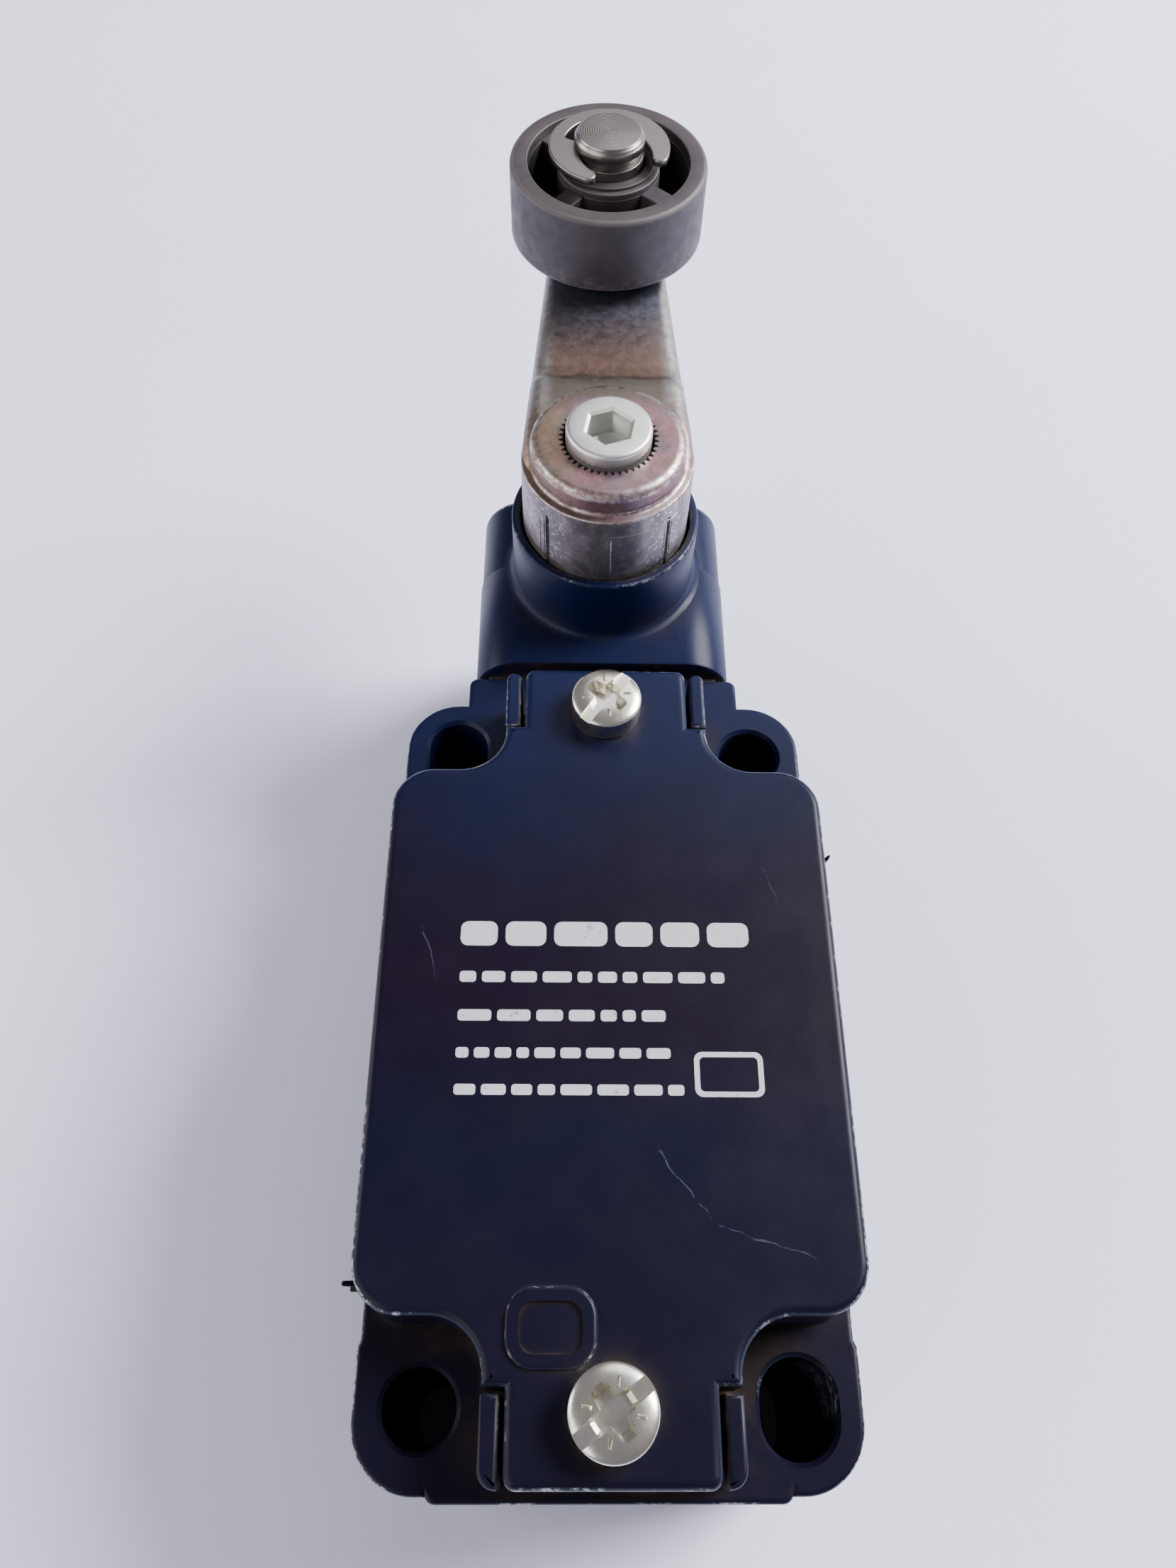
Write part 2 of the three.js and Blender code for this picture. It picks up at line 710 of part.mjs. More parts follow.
function makeCam() {
  const { radius, flat, z0, z1, holeHalf } = CAM;
  let solid = barZ(radius, z0, z1, 0, 0, FINE);
  solid = solid.subtract(block(-radius, radius, -radius - OVERCUT, -flat, z0 - OVERCUT, z1 + OVERCUT));
  return solid.subtract(block(-holeHalf, holeHalf, -holeHalf, holeHalf, z0 - OVERCUT, z1 + OVERCUT));
}

// An open ring in X and Y: a band from inner to outer, with a mouth centred on the given bearing.
function openRing(inner, outer, mouth, mouthHalf) {
  const [start, end] = [mouth + mouthHalf, mouth + 360 - mouthHalf];
  return new THREE.Shape([
    ...arcPoints(0, 0, outer, start, end, 18),
    ...arcPoints(0, 0, inner, end, start, 18),
  ]);
}

function makeCirclip() {
  const { outer, gap, mouth, mouthHalf } = CIRCLIP;
  const ring = openRing(SHAFT.grooveRadius + gap, outer, mouth, mouthHalf);
  return slab(ring, SHAFT.grooveZ + gap, SHAFT.journalZ - gap);
}

function armShape() {
  const { length, rootHalf, rootY, tipRadius, tipBearing, hubRadius } = LEVER;
  return new THREE.Shape([
    ...arcPoints(0, 0, hubRadius, 180, 360, 10),
    new THREE.Vector2(rootHalf, rootY),
    ...arcPoints(0, length, tipRadius, tipBearing, 180 - tipBearing, 10),
    new THREE.Vector2(-rootHalf, rootY),
  ]);
}

function makeLever() {
  const v = LEVER;
  const hub = turned(
    [
      [0, v.hubBottom],
      [v.hubRadius, v.hubBottom],
      [v.hubRadius, v.hubTop - v.edge],
      [v.hubRadius - v.edge, v.hubTop],
      [v.ringRadius, v.hubTop + v.edge],
      [v.ringRadius, v.ringTop - v.edge],
      [v.ringRadius - v.edge, v.ringTop],
      [0, v.ringTop],
    ],
    FINE,
  );
  const below = v.armBottom - OVERCUT;
  const above = v.padTop + OVERCUT;
  const arm = slab(armShape(), v.armBottom, v.armTop, v.bevel);
  const pad = slab(armShape(), v.armBottom, v.padTop, v.bevel);
  const beyondPad = block(-BEYOND, BEYOND, v.padEnd, BEYOND, below, above);
  const beforeHub = block(-BEYOND, BEYOND, -BEYOND, 0, below, above);
  let solid = hub.add(arm.add(pad.subtract(beyondPad)).subtract(beforeHub));
  solid = solid.add(barZ(v.bossRadius, v.armTop - OVERCUT, v.bossTop, 0, v.length));
  solid = solid.subtract(barZ(v.bore, v.hubBottom, v.ringTop + OVERCUT, 0, 0, FINE));
  solid = solid.subtract(barZ(v.sealRecessRadius, v.hubBottom - OVERCUT, v.sealRecessTop));
  return solid.subtract(barZ(PIN.radius + v.pinGap, below, v.bossTop + OVERCUT, 0, v.length));
}

function makeClampScrew() {
  const c = CLAMP_SCREW;
  const socketFloor = c.headHeight - c.hexDepth;
  const socket = barZ(c.hexRadius, socketFloor, c.headHeight + OVERCUT, 0, 0, 6);
  return machineScrew(c, c.length, MEDIUM).subtract(socket);
}

place(leverGroup, "shaft", makeShaft(), FINISH.brightSteel);
place(leverGroup, "cam", makeCam(), FINISH.springSteel);
place(leverGroup, "shaft_circlip", makeCirclip(), FINISH.springSteel);
place(leverGroup, "lever", makeLever(), FINISH.zincChromate);
const clampSeat = [0, 0, CLAMP_SCREW.seatZ];
const clampTurn = [0, 0, THREE.MathUtils.degToRad(CLAMP_SCREW.turn)];
place(leverGroup, "lever_clamp_screw", makeClampScrew(), FINISH.platedSteel, clampSeat, clampTurn);

// ---------------------------------------------------------------- roller, its pin and clip

function makeRoller() {
  const r = ROLLER;
  let solid = turned(
    [
      [r.bore, r.bottom],
      [r.hubRadius, r.bottom],
      [r.hubRadius, r.webBottom],
      [r.recessRadius, r.webBottom],
      [r.recessRadius, r.bottom],
      [r.radius - r.rim, r.bottom],
      [r.radius, r.bottom + r.rim],
      [r.radius, r.top - r.rim],
      [r.radius - r.rim, r.top],
      [r.recessRadius, r.top],
      [r.recessRadius, r.webTop],
      [r.hubRadius, r.webTop],
      [r.hubRadius, r.hubTop],
      [r.noseRadius, r.hubTop],
      [r.noseRadius, r.noseTop],
      [r.bore, r.noseTop],
      [r.bore, r.bottom],
    ],
    FINE,
  );
  const spokeAngle = (radius) => THREE.MathUtils.radToDeg(Math.asin(r.spokeHalf / radius));
  const inner = r.hubRadius + r.windowEdge;
  const outer = r.recessRadius - r.windowEdge;
  for (let quarter = 0; quarter < 4; quarter += 1) {
    const from = quarter * 90 - 45 + r.spokeTurn;
    const to = from + 90;
    const window = new THREE.Shape([
      ...arcPoints(0, 0, outer, from + spokeAngle(outer), to - spokeAngle(outer), 5),
      ...arcPoints(0, 0, inner, to - spokeAngle(inner), from + spokeAngle(inner), 4),
    ]);
    solid = solid.subtract(slab(window, r.webBottom - OVERCUT, r.webTop + OVERCUT));
  }
  return solid;
}

function makePin() {
  const p = PIN;
  const flangeTop = LEVER.armBottom - LEVER.pinGap;
  return turned([
    [0, p.headBottom],
    [p.headRadius, p.headBottom],
    [p.headRadius, flangeTop],
    [p.radius, flangeTop],
    [p.radius, p.grooveZ],
    [p.grooveRadius, p.grooveZ],
    [p.grooveRadius, p.grooveTop],
    [p.radius, p.grooveTop],
    [p.radius, p.top - p.chamfer],
    [p.radius - p.chamfer, p.top],
    [0, p.top],
  ]);
}

// Three prongs reach the groove: one opposite the mouth and one beside each side of it.
function makeClip() {
  const c = CLIP;
  const top = c.z + c.thickness;
  let solid = slab(openRing(c.inner, c.outer, c.mouth, c.mouthHalf), c.z, top);
  for (const side of [-1, 1]) {
    const middle = c.mouth + 180 + side * c.notchBearing;
    const [from, to] = [middle - c.notchHalf, middle + c.notchHalf];
    const notch = new THREE.Shape([
      ...arcPoints(0, 0, c.notchRadius, from, to),
      ...arcPoints(0, 0, c.inner - OVERCUT, to, from),
    ]);
    solid = solid.subtract(slab(notch, c.z - OVERCUT, top + OVERCUT));
  }
  return solid;
}

place(rollerGroup, "roller", makeRoller(), FINISH.rollerPlastic);
place(rollerGroup, "roller_pin", makePin(), FINISH.brightSteel);
place(rollerGroup, "roller_clip", makeClip(), FINISH.brightSteel);

// ---------------------------------------------------------------- pressure plate, drive rod and head spring

place(headGroup, "pressure_plate", barY(PLATE.radius, PLATE.y0 + FACE_GAP, PLATE.y1), FINISH.springSteel);
place(headGroup, "drive_rod", barY(ROD.radius, ROD.y0, PLATE.y0), FINISH.brightSteel);
const headSpring = helixSpring(HEAD_SPRING, PLATE.y0 - HEAD_SPRING.y0 - SPRING_GAP);
place(headGroup, "head_spring", headSpring, FINISH.springSteel, [0, HEAD_SPRING.y0, 0]);

// ---------------------------------------------------------------- contact block
// Heights in the contact block too are measured from the drive rod's axis.

const blockZ = (z) => z - AXIS_Z;
const SIDES = { left: -1, right: 1 };

function makeBlockBase() {
  const b = BLOCK;
  const { headRadius, headHeight, shankRadius } = SMALL_SCREW;
  const top = blockZ(b.z1) + OVERCUT;
  const shelf = blockZ(TERMINAL.shelfZ);
  const slotFloor = blockZ(CONTACT.stripZ) - LOOSE_GAP;
  const slotHalf = CONTACT.strip / 2 + LOOSE_GAP;
  const shelfHalf = TERMINAL.half + LOOSE_GAP;
  const outline = roundedRectangle(b.x, (b.y1 - b.y0) / 2, b.radius, 3);
  let solid = slab(outline, blockZ(b.z0), blockZ(b.z1)).translate([0, (b.y0 + b.y1) / 2, 0]);
  solid = solid.subtract(block(-b.wellX, b.wellX, b.wellY0, b.wellY1, blockZ(b.wellZ), top));
  solid = solid.subtract(barY(CARRIER.buttonRadius + LOOSE_GAP, b.wellY1 - OVERCUT, b.y1 + OVERCUT));
  for (const { stripY, terminalY: y } of Object.values(POLES)) {
    for (const side of Object.values(SIDES)) {
      const [x0, x1] = ordered(side * (TERMINAL.x0 - LOOSE_GAP), side * (b.x + OVERCUT));
      const [slot0, slot1] = ordered(side * (b.wellX - LOOSE_GAP), side * (TERMINAL.x0 + LOOSE_GAP));
      const hole = shankRadius + THREAD_GAP;
      const screwFloor = blockZ(b.screwFloor);
      solid = solid.subtract(block(x0, x1, y - shelfHalf, y + shelfHalf, shelf, top));
      solid = solid.subtract(block(slot0, slot1, stripY - slotHalf, stripY + slotHalf, slotFloor, top));
      solid = solid.subtract(barZ(hole, screwFloor, top, side * TERMINAL.screwX, y, COARSE));
    }
  }
  for (const { x, y } of BLOCK_SCREWS) {
    const seat = blockZ(b.z1) - headHeight - LOOSE_GAP;
    solid = solid.subtract(barZ(shankRadius + THREAD_GAP, blockZ(b.z0) - OVERCUT, top, x, y, COARSE));
    solid = solid.subtract(barZ(headRadius + LOOSE_GAP, seat, top, x, y, COARSE));
  }
  return solid;
}

// Two guides under the lid keep the contact carrier down.
function makeBlockLid() {
  const lid = BLOCK_LID;
  const [y0, y1] = [BLOCK.wellY0 + LOOSE_GAP, BLOCK.wellY1 - LOOSE_GAP];
  const plate = block(-lid.x, lid.x, lid.y0, lid.y1, blockZ(lid.z0), blockZ(lid.z1));
  const guides = [-lid.guideX, lid.guideX].map((x) =>
    block(x - lid.guideHalf, x + lid.guideHalf, y0, y1, blockZ(lid.guideZ), blockZ(lid.z0) + LAP),
  );
  return united([plate, ...guides]);
}

place(contactGroup, "contact_block_base", makeBlockBase(), FINISH.blackPlastic);
place(contactGroup, "contact_block_lid", makeBlockLid(), FINISH.palePlastic);
BLOCK_SCREWS.forEach(({ x, y }, i) => {
  const seat = BLOCK.z1 - SMALL_SCREW.headHeight - LOOSE_GAP + FACE_GAP;
  const solid = recessedScrew(SMALL_SCREW, seat - HOUSING.floor - OVERCUT, COARSE);
  place(contactGroup, `contact_block_screw_${i + 1}`, solid, FINISH.platedSteel, [x, y, blockZ(seat)]);
});

// A fixed contact: a terminal pad, and a strip that carries a contact button beside the carrier.
function makeFixedContact({ stripY, terminalY: y, bridgeBelow }, side) {
  const { stripX, strip, stripZ, buttonX, button, buttonRadius } = CONTACT;
  const { x0, x1, half, padZ, padTop, screwX } = TERMINAL;
  const [bottom, top] = [blockZ(padZ), blockZ(padTop)];
  const [pad0, pad1] = ordered(side * x0, side * x1);
  const [arm0, arm1] = ordered(side * stripX, side * (x0 + LAP));
  const face = bridgeBelow ? stripY - strip / 2 - button : stripY + strip / 2 - LAP;
  const holeRadius = SMALL_SCREW.shankRadius + THREAD_GAP;
  return united([
    block(pad0, pad1, y - half, y + half, bottom, top),
    block(arm0, arm1, stripY - strip / 2, stripY + strip / 2, blockZ(stripZ), top),
    barY(buttonRadius, face, face + button + LAP, side * buttonX, 0, COARSE),
  ]).subtract(barZ(holeRadius, bottom - OVERCUT, top + OVERCUT, side * screwX, y, COARSE));
}

function makeClampPlate(half) {
  const hole = barZ(SMALL_SCREW.shankRadius + THREAD_GAP, -OVERCUT, CLAMP_THICKNESS + OVERCUT, 0, 0, COARSE);
  return block(-half, half, -half, half, 0, CLAMP_THICKNESS).subtract(hole);
}

// A wire clamp and its screw, on a seat at the given height of the parent group.
function placeTerminal(parent, tag, [x, y, seat], clampHalf, screwLength) {
  const clampZ = seat + FACE_GAP;
  const headZero = clampZ + CLAMP_THICKNESS + FACE_GAP;
  const screw = recessedScrew(SMALL_SCREW, screwLength, COARSE);
  place(parent, tag("clamp"), makeClampPlate(clampHalf), FINISH.platedSteel, [x, y, clampZ]);
  place(parent, tag("screw"), screw, FINISH.platedSteel, [x, y, headZero]);
}

for (const [poleName, pole] of Object.entries(POLES)) {
  for (const [sideName, side] of Object.entries(SIDES)) {
    const { screwX, padTop, clampHalf, screwLength } = TERMINAL;
    const seat = [side * screwX, pole.terminalY, blockZ(padTop)];
    const tag = (piece) => `terminal_${piece}_${poleName}_${sideName}`;
    const contact = makeFixedContact(pole, side);
    place(contactGroup, `fixed_contact_${poleName}_${sideName}`, contact, FINISH.brass);
    placeTerminal(contactGroup, tag, seat, clampHalf, screwLength);
  }
}

const earthSeat = [EARTH.x, EARTH.y, EARTH.top];
placeTerminal(limitSwitch, (piece) => `earth_${piece}`, earthSeat, EARTH.clampHalf, EARTH.screwLength);

// ---------------------------------------------------------------- moving contacts

// The bar's face towards its fixed contact, at rest.
function bridgeY({ stripY, bridgeBelow }) {
  const reach = CONTACT.strip / 2 + 2 * CONTACT.button + CONTACT.gap;
  return bridgeBelow ? stripY - reach : stripY + reach + TRAVEL;
}

function makeBridge(pole) {
  const { barX, barHalfZ, bar, button, buttonRadius, buttonX } = CONTACT;
  const face = bridgeY(pole);
  const [y0, y1] = pole.bridgeBelow ? [face - bar, face] : [face, face + bar];
  const tipY = pole.bridgeBelow ? face - LAP : face - button;
  const tips = Object.values(SIDES).map((side) =>
    barY(buttonRadius, tipY, tipY + button + LAP, side * buttonX, 0, COARSE),
  );
  return united([block(-barX, barX, y0, y1, -barHalfZ, barHalfZ), ...tips]);
}

// Each window holds a bridge and its spring.
const windows = {
  nc: [CARRIER.windowHighY, bridgeY(POLES.nc) + LOOSE_GAP],
  no: [bridgeY(POLES.no) - LOOSE_GAP, CARRIER.windowLowY],
};

function makeCarrier() {
  const c = CARRIER;
  let solid = block(-c.x, c.x, c.y0, c.y1, blockZ(c.z0), blockZ(c.z1));
  solid = solid.add(barY(c.buttonRadius, c.y1 - OVERCUT, c.buttonY));
  for (const [y0, y1] of Object.values(windows)) {
    const half = CONTACT.barHalfZ + LOOSE_GAP;
    solid = solid.subtract(block(-c.x - OVERCUT, c.x + OVERCUT, y0, y1, -half, half));
  }
  return solid;
}

place(contactGroup, "contact_carrier", makeCarrier(), FINISH.palePlastic);
for (const [poleName, pole] of Object.entries(POLES)) {
  const { bar } = CONTACT;
  const face = bridgeY(pole);
  const [y0, y1] = pole.bridgeBelow ? [windows.nc[0], face - bar] : [face + bar, windows.no[1]];
  const spring = helixSpring(CONTACT_SPRING, y1 - y0 - 2 * SPRING_GAP);
  place(contactGroup, `contact_bridge_${poleName}`, makeBridge(pole), FINISH.brass);
  place(contactGroup, `contact_spring_${poleName}`, spring, FINISH.springSteel, [0, y0 + SPRING_GAP, 0]);
}

const returnSpringY = BLOCK.wellY0 + SPRING_GAP;
const returnSpring = helixSpring(RETURN_SPRING, CARRIER.y0 - returnSpringY - SPRING_GAP);
place(contactGroup, "return_spring", returnSpring, FINISH.springSteel, [0, returnSpringY, 0]);

export default limitSwitch;
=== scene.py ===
"""Limit switch with a roller lever: the visible pieces, their finishes, and a plain studio.

Shapes are written in millimetres in the part's own frame: the back face is Z = 0, +Z points out
of the cover, +Y towards the lever head, and the origin is at the centre of the fixing holes.
"""

import json
import math
import random

import bmesh
import bpy
from mathutils import Matrix, Vector

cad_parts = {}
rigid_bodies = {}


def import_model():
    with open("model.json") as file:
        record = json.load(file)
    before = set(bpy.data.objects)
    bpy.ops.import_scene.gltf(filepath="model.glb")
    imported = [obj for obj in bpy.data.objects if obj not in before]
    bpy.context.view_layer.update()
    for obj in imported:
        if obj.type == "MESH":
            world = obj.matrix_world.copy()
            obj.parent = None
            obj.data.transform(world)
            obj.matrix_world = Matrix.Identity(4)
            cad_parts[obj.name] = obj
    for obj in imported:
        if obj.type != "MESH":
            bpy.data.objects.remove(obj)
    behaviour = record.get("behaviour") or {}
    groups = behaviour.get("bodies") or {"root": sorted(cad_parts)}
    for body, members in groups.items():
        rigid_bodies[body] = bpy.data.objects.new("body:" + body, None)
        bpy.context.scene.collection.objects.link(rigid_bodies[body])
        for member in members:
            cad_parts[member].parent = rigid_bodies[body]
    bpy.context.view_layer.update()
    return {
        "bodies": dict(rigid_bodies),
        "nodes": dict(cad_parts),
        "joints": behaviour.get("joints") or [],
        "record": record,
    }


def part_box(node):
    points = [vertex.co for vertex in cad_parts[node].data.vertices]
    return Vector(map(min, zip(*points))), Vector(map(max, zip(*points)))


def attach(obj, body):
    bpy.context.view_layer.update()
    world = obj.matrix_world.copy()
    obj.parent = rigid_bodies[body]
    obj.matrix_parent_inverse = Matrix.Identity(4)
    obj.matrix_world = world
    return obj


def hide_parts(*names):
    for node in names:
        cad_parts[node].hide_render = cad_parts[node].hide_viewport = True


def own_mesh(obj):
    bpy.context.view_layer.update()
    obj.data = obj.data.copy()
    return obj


MM = 0.001

BODY = "body"
LEVER = "lever_and_shaft"
ROLLER = "roller_wheel"

BASE_TOP = 30.2
COVER_BOTTOM = 30.8
COVER_TOP = 38.0
AXIS_Z = 19.0
SHAFT_Y = 53.3
ROLLER_Y = 84.8
HOLE_X, HOLE_Y = 15, 30
COVER_SCREW_Y = 30.5
CAVITY_FLOOR = 3.0
ENTRY_Z = 15
THREAD_PITCH = 1.5
HEAD_END = 63.3
HEAD_SCREW = 8.8


# ---- mesh helpers


def link(obj):
    bpy.context.scene.collection.objects.link(obj)
    return obj


def plain_object(name, bm):
    mesh = bpy.data.meshes.new(name)
    bm.to_mesh(mesh)
    bm.free()
    return link(bpy.data.objects.new(name, mesh))


def new_object(name, bm):
    """An object from a bmesh, its doubled points merged and its faces turned outwards."""
    bmesh.ops.remove_doubles(bm, verts=bm.verts, dist=1e-4)
    bmesh.ops.recalc_face_normals(bm, faces=bm.faces)
    return plain_object(name, bm)


def add_points(bm, rows):
    """Vertices for rows of points (x, y, z) or (x, y, z, wear)."""
    wear_and_sheen_layer = bm.verts.layers.float.new("wear")
    made = []
    for row in rows:
        verts = []
        for x, y, z, *wear in row:
            vert = bm.verts.new((x, y, z))
            vert[wear_and_sheen_layer] = wear[0] if wear else 0.0
            verts.append(vert)
        made.append(verts)
    return made


def tube(name, rings):
    """A closed solid through rings of points, with a flat face at each end."""
    bm = bmesh.new()
    rings = add_points(bm, rings)
    count = len(rings[0])
    for low, high in zip(rings, rings[1:]):
        for i in range(count):
            j = (i + 1) % count
            bm.faces.new((low[i], low[j], high[j], high[i]))
    bm.faces.new(list(reversed(rings[0])))
    bm.faces.new(rings[-1])
    return new_object(name, bm)


def sheet(name, columns, around=True, closed=False):
    """A sheet across columns of points. Around joins the last column to the first, and closed
    joins each column's own ends."""
    bm = bmesh.new()
    columns = add_points(bm, columns)
    rows = len(columns[0])
    following = columns[1:] + columns[:1] if around else columns[1:]
    for here, there in zip(columns, following):
        for j in range(rows if closed else rows - 1):
            k = (j + 1) % rows
            bm.faces.new((here[j], there[j], there[k], here[k]))
    return new_object(name, bm)


def swept(name, stations, sides=10):
    """A closed tube through stations (middle, half axis, other half axis) of its oval section."""
    turns = [2 * math.pi * k / sides for k in range(sides)]
    rings = [[middle + a * math.cos(t) + b * math.sin(t) for t in turns] for middle, a, b in stations]
    return tube(name, rings)


def smooth(share):
    """From 0 to 1 with a level start and end."""
    share = min(1.0, max(0.0, share))
    return share * share * (3 - 2 * share)


def arc(cx, cy, radius, start, end, steps=12):
    angles = [math.radians(start + (end - start) * i / steps) for i in range(steps + 1)]
    return [(cx + radius * math.cos(angle), cy + radius * math.sin(angle)) for angle in angles]


def mirrored(upper, lower=None):
    """A whole outline from its (+X, +Y) quarter, listed from the side to the end."""
    lower = lower or upper
    return (
        list(upper)
        + [(-x, y) for x, y in reversed(upper)]
        + [(-x, -y) for x, y in lower]
        + [(x, -y) for x, y in reversed(lower)]
    )


def without_repeats(outline):
    kept = []
    for point in outline:
        if not kept or math.dist(point, kept[-1]) > 1e-3:
            kept.append(point)
    if math.dist(kept[0], kept[-1]) <= 1e-3:
        kept.pop()
    return kept


def inset_directions(outline):
    """For each point, the move that insets both of its edges by one unit."""
    moves = []
    count = len(outline)
    for i in range(count):
        before, here, after = (Vector(outline[(i + k) % count]) for k in (-1, 0, 1))
        first = (here - before).normalized()
        second = (after - here).normalized()
        n1 = Vector((-first.y, first.x))
        n2 = Vector((-second.y, second.x))
        middle = (n1 + n2).normalized()
        moves.append(middle / max(0.35, middle.dot(n1)))
    return moves


def rounded_end(z, radius, steps=4, support=0.2, up=True):
    """Layers (z, inset, wear) that round an edge off, listed from the wall to the flat end."""
    sign = 1 if up else -1
    layers = []
    for i in range(steps + 1):
        angle = math.pi / 2 * i / steps
        wear = 1.0 if 0 < i <= steps // 2 else 0.0
        height = z - sign * radius * (1 - math.sin(angle))
        layers.append((height, radius * (1 - math.cos(angle)), wear))
    layers.append((z, radius + support, 0.0))
    return layers


def stacked(name, outline, layers):
    """A closed solid whose outline is inset by a given amount at each height."""
    outline = without_repeats(outline)
    moves = inset_directions(outline)
    rings = []
    for z, inset, wear in layers:
        rings.append([(x + m.x * inset, y + m.y * inset, z, wear) for (x, y), m in zip(outline, moves)])
    return tube(name, rings)


def lofted(name, *outlines):
    """A closed solid through outlines of equal length, given as (z, outline)."""
    return tube(name, [[(x, y, z) for x, y in outline] for z, outline in outlines])


def prism(name, outline, z0, z1):
    return stacked(name, outline, [(z0, 0, 0), (z1, 0, 0)])


def box_outline(x0, x1, y0, y1):
    return [(x0, y0), (x1, y0), (x1, y1), (x0, y1)]


def rounded_rectangle(half_x, half_y, radius, steps=8, centre=(0, 0)):
    outline = mirrored(arc(half_x - radius, half_y - radius, radius, 0, 90, steps))
    return [(x + centre[0], y + centre[1]) for x, y in outline]


def revolved(name, profile, segments=96, centre=(0, 0), closed=False, warp=None):
    """Turns a profile of (radius, z) or (radius, z, wear) round a Z axis."""
    columns = []
    for i in range(segments):
        angle = 2 * math.pi * i / segments
        column = []
        for radius, z, *wear in profile:
            reach = warp(angle, radius, z) if warp else radius
            x, y = reach * math.cos(angle), reach * math.sin(angle)
            column.append((centre[0] + x, centre[1] + y, z, *wear))
        columns.append(column)
    return sheet(name, columns, closed=closed)


def corner(r0, z0, r1, z1, r2, z2, radius, steps=3):
    """The rounded corner at (r1, z1) between the directions to its two neighbours."""
    here = Vector((r1, z1))
    a = (Vector((r0, z0)) - here).normalized()
    b = (Vector((r2, z2)) - here).normalized()
    half = a.angle(b) / 2
    reach = radius / math.tan(half)
    centre = here + (a + b).normalized() * (radius / math.sin(half))
    start = here + a * reach - centre
    sweep = (here + b * reach - centre).angle_signed(start)
    points = []
    for i in range(steps + 1):
        turned = start.copy()
        turned.rotate(Matrix.Rotation(sweep * i / steps, 2))
        wear = 1.0 if 0 < i < steps else 0.0
        points.append((centre.x + turned.x, centre.y + turned.y, wear))
    return points


def rounded_profile(points, steps=3):
    """Rounds each (r, z, radius) point of a profile; a point (r, z), the first and the last stay sharp."""
    result = []
    for i, (r, z, *radius) in enumerate(points):
        if radius and 0 < i < len(points) - 1:
            before, after = points[i - 1], points[i + 1]
            result += corner(*before[:2], r, z, *after[:2], radius[0], steps)
        else:
            result.append((r, z, 0.0))
    return result


def apply_modifiers(obj):
    graph = bpy.context.evaluated_depsgraph_get()
    mesh = bpy.data.meshes.new_from_object(obj.evaluated_get(graph))
    obj.modifiers.clear()
    obj.data = mesh


def cut(solid, cutters):
    for cutter in cutters:
        modifier = solid.modifiers.new("cut", "BOOLEAN")
        modifier.operation = "DIFFERENCE"
        modifier.solver = "EXACT"
        modifier.object = cutter
    apply_modifiers(solid)
    for cutter in cutters:
        bpy.data.objects.remove(cutter)
    return solid


def joined(objects):
    """One object from several that may run into each other."""
    first = objects[0]
    bm = bmesh.new()
    for obj in objects:
        bm.from_mesh(obj.data)
    bm.to_mesh(first.data)
    bm.free()
    for obj in objects[1:]:
        bpy.data.objects.remove(obj)
    return first


def moved(obj, matrix):
    obj.data.transform(matrix)
    return obj


def shifted(obj, x, y, z):
    return moved(obj, Matrix.Translation((x, y, z)))


def turned(obj, degrees, axis="Z"):
    return moved(obj, Matrix.Rotation(math.radians(degrees), 4, axis))


def along_y(obj, x=0, z=AXIS_Z):
    """Turns what was built along +Z so that it runs along +Y, with its own +Y along +Z, at x, z."""
    moved(obj, Matrix(((1, 0, 0, 0), (0, 0, 1, 0), (0, 1, 0, 0), (0, 0, 0, 1))))
    obj.data.flip_normals()
    return shifted(obj, x, 0, z)


# ---- material helpers


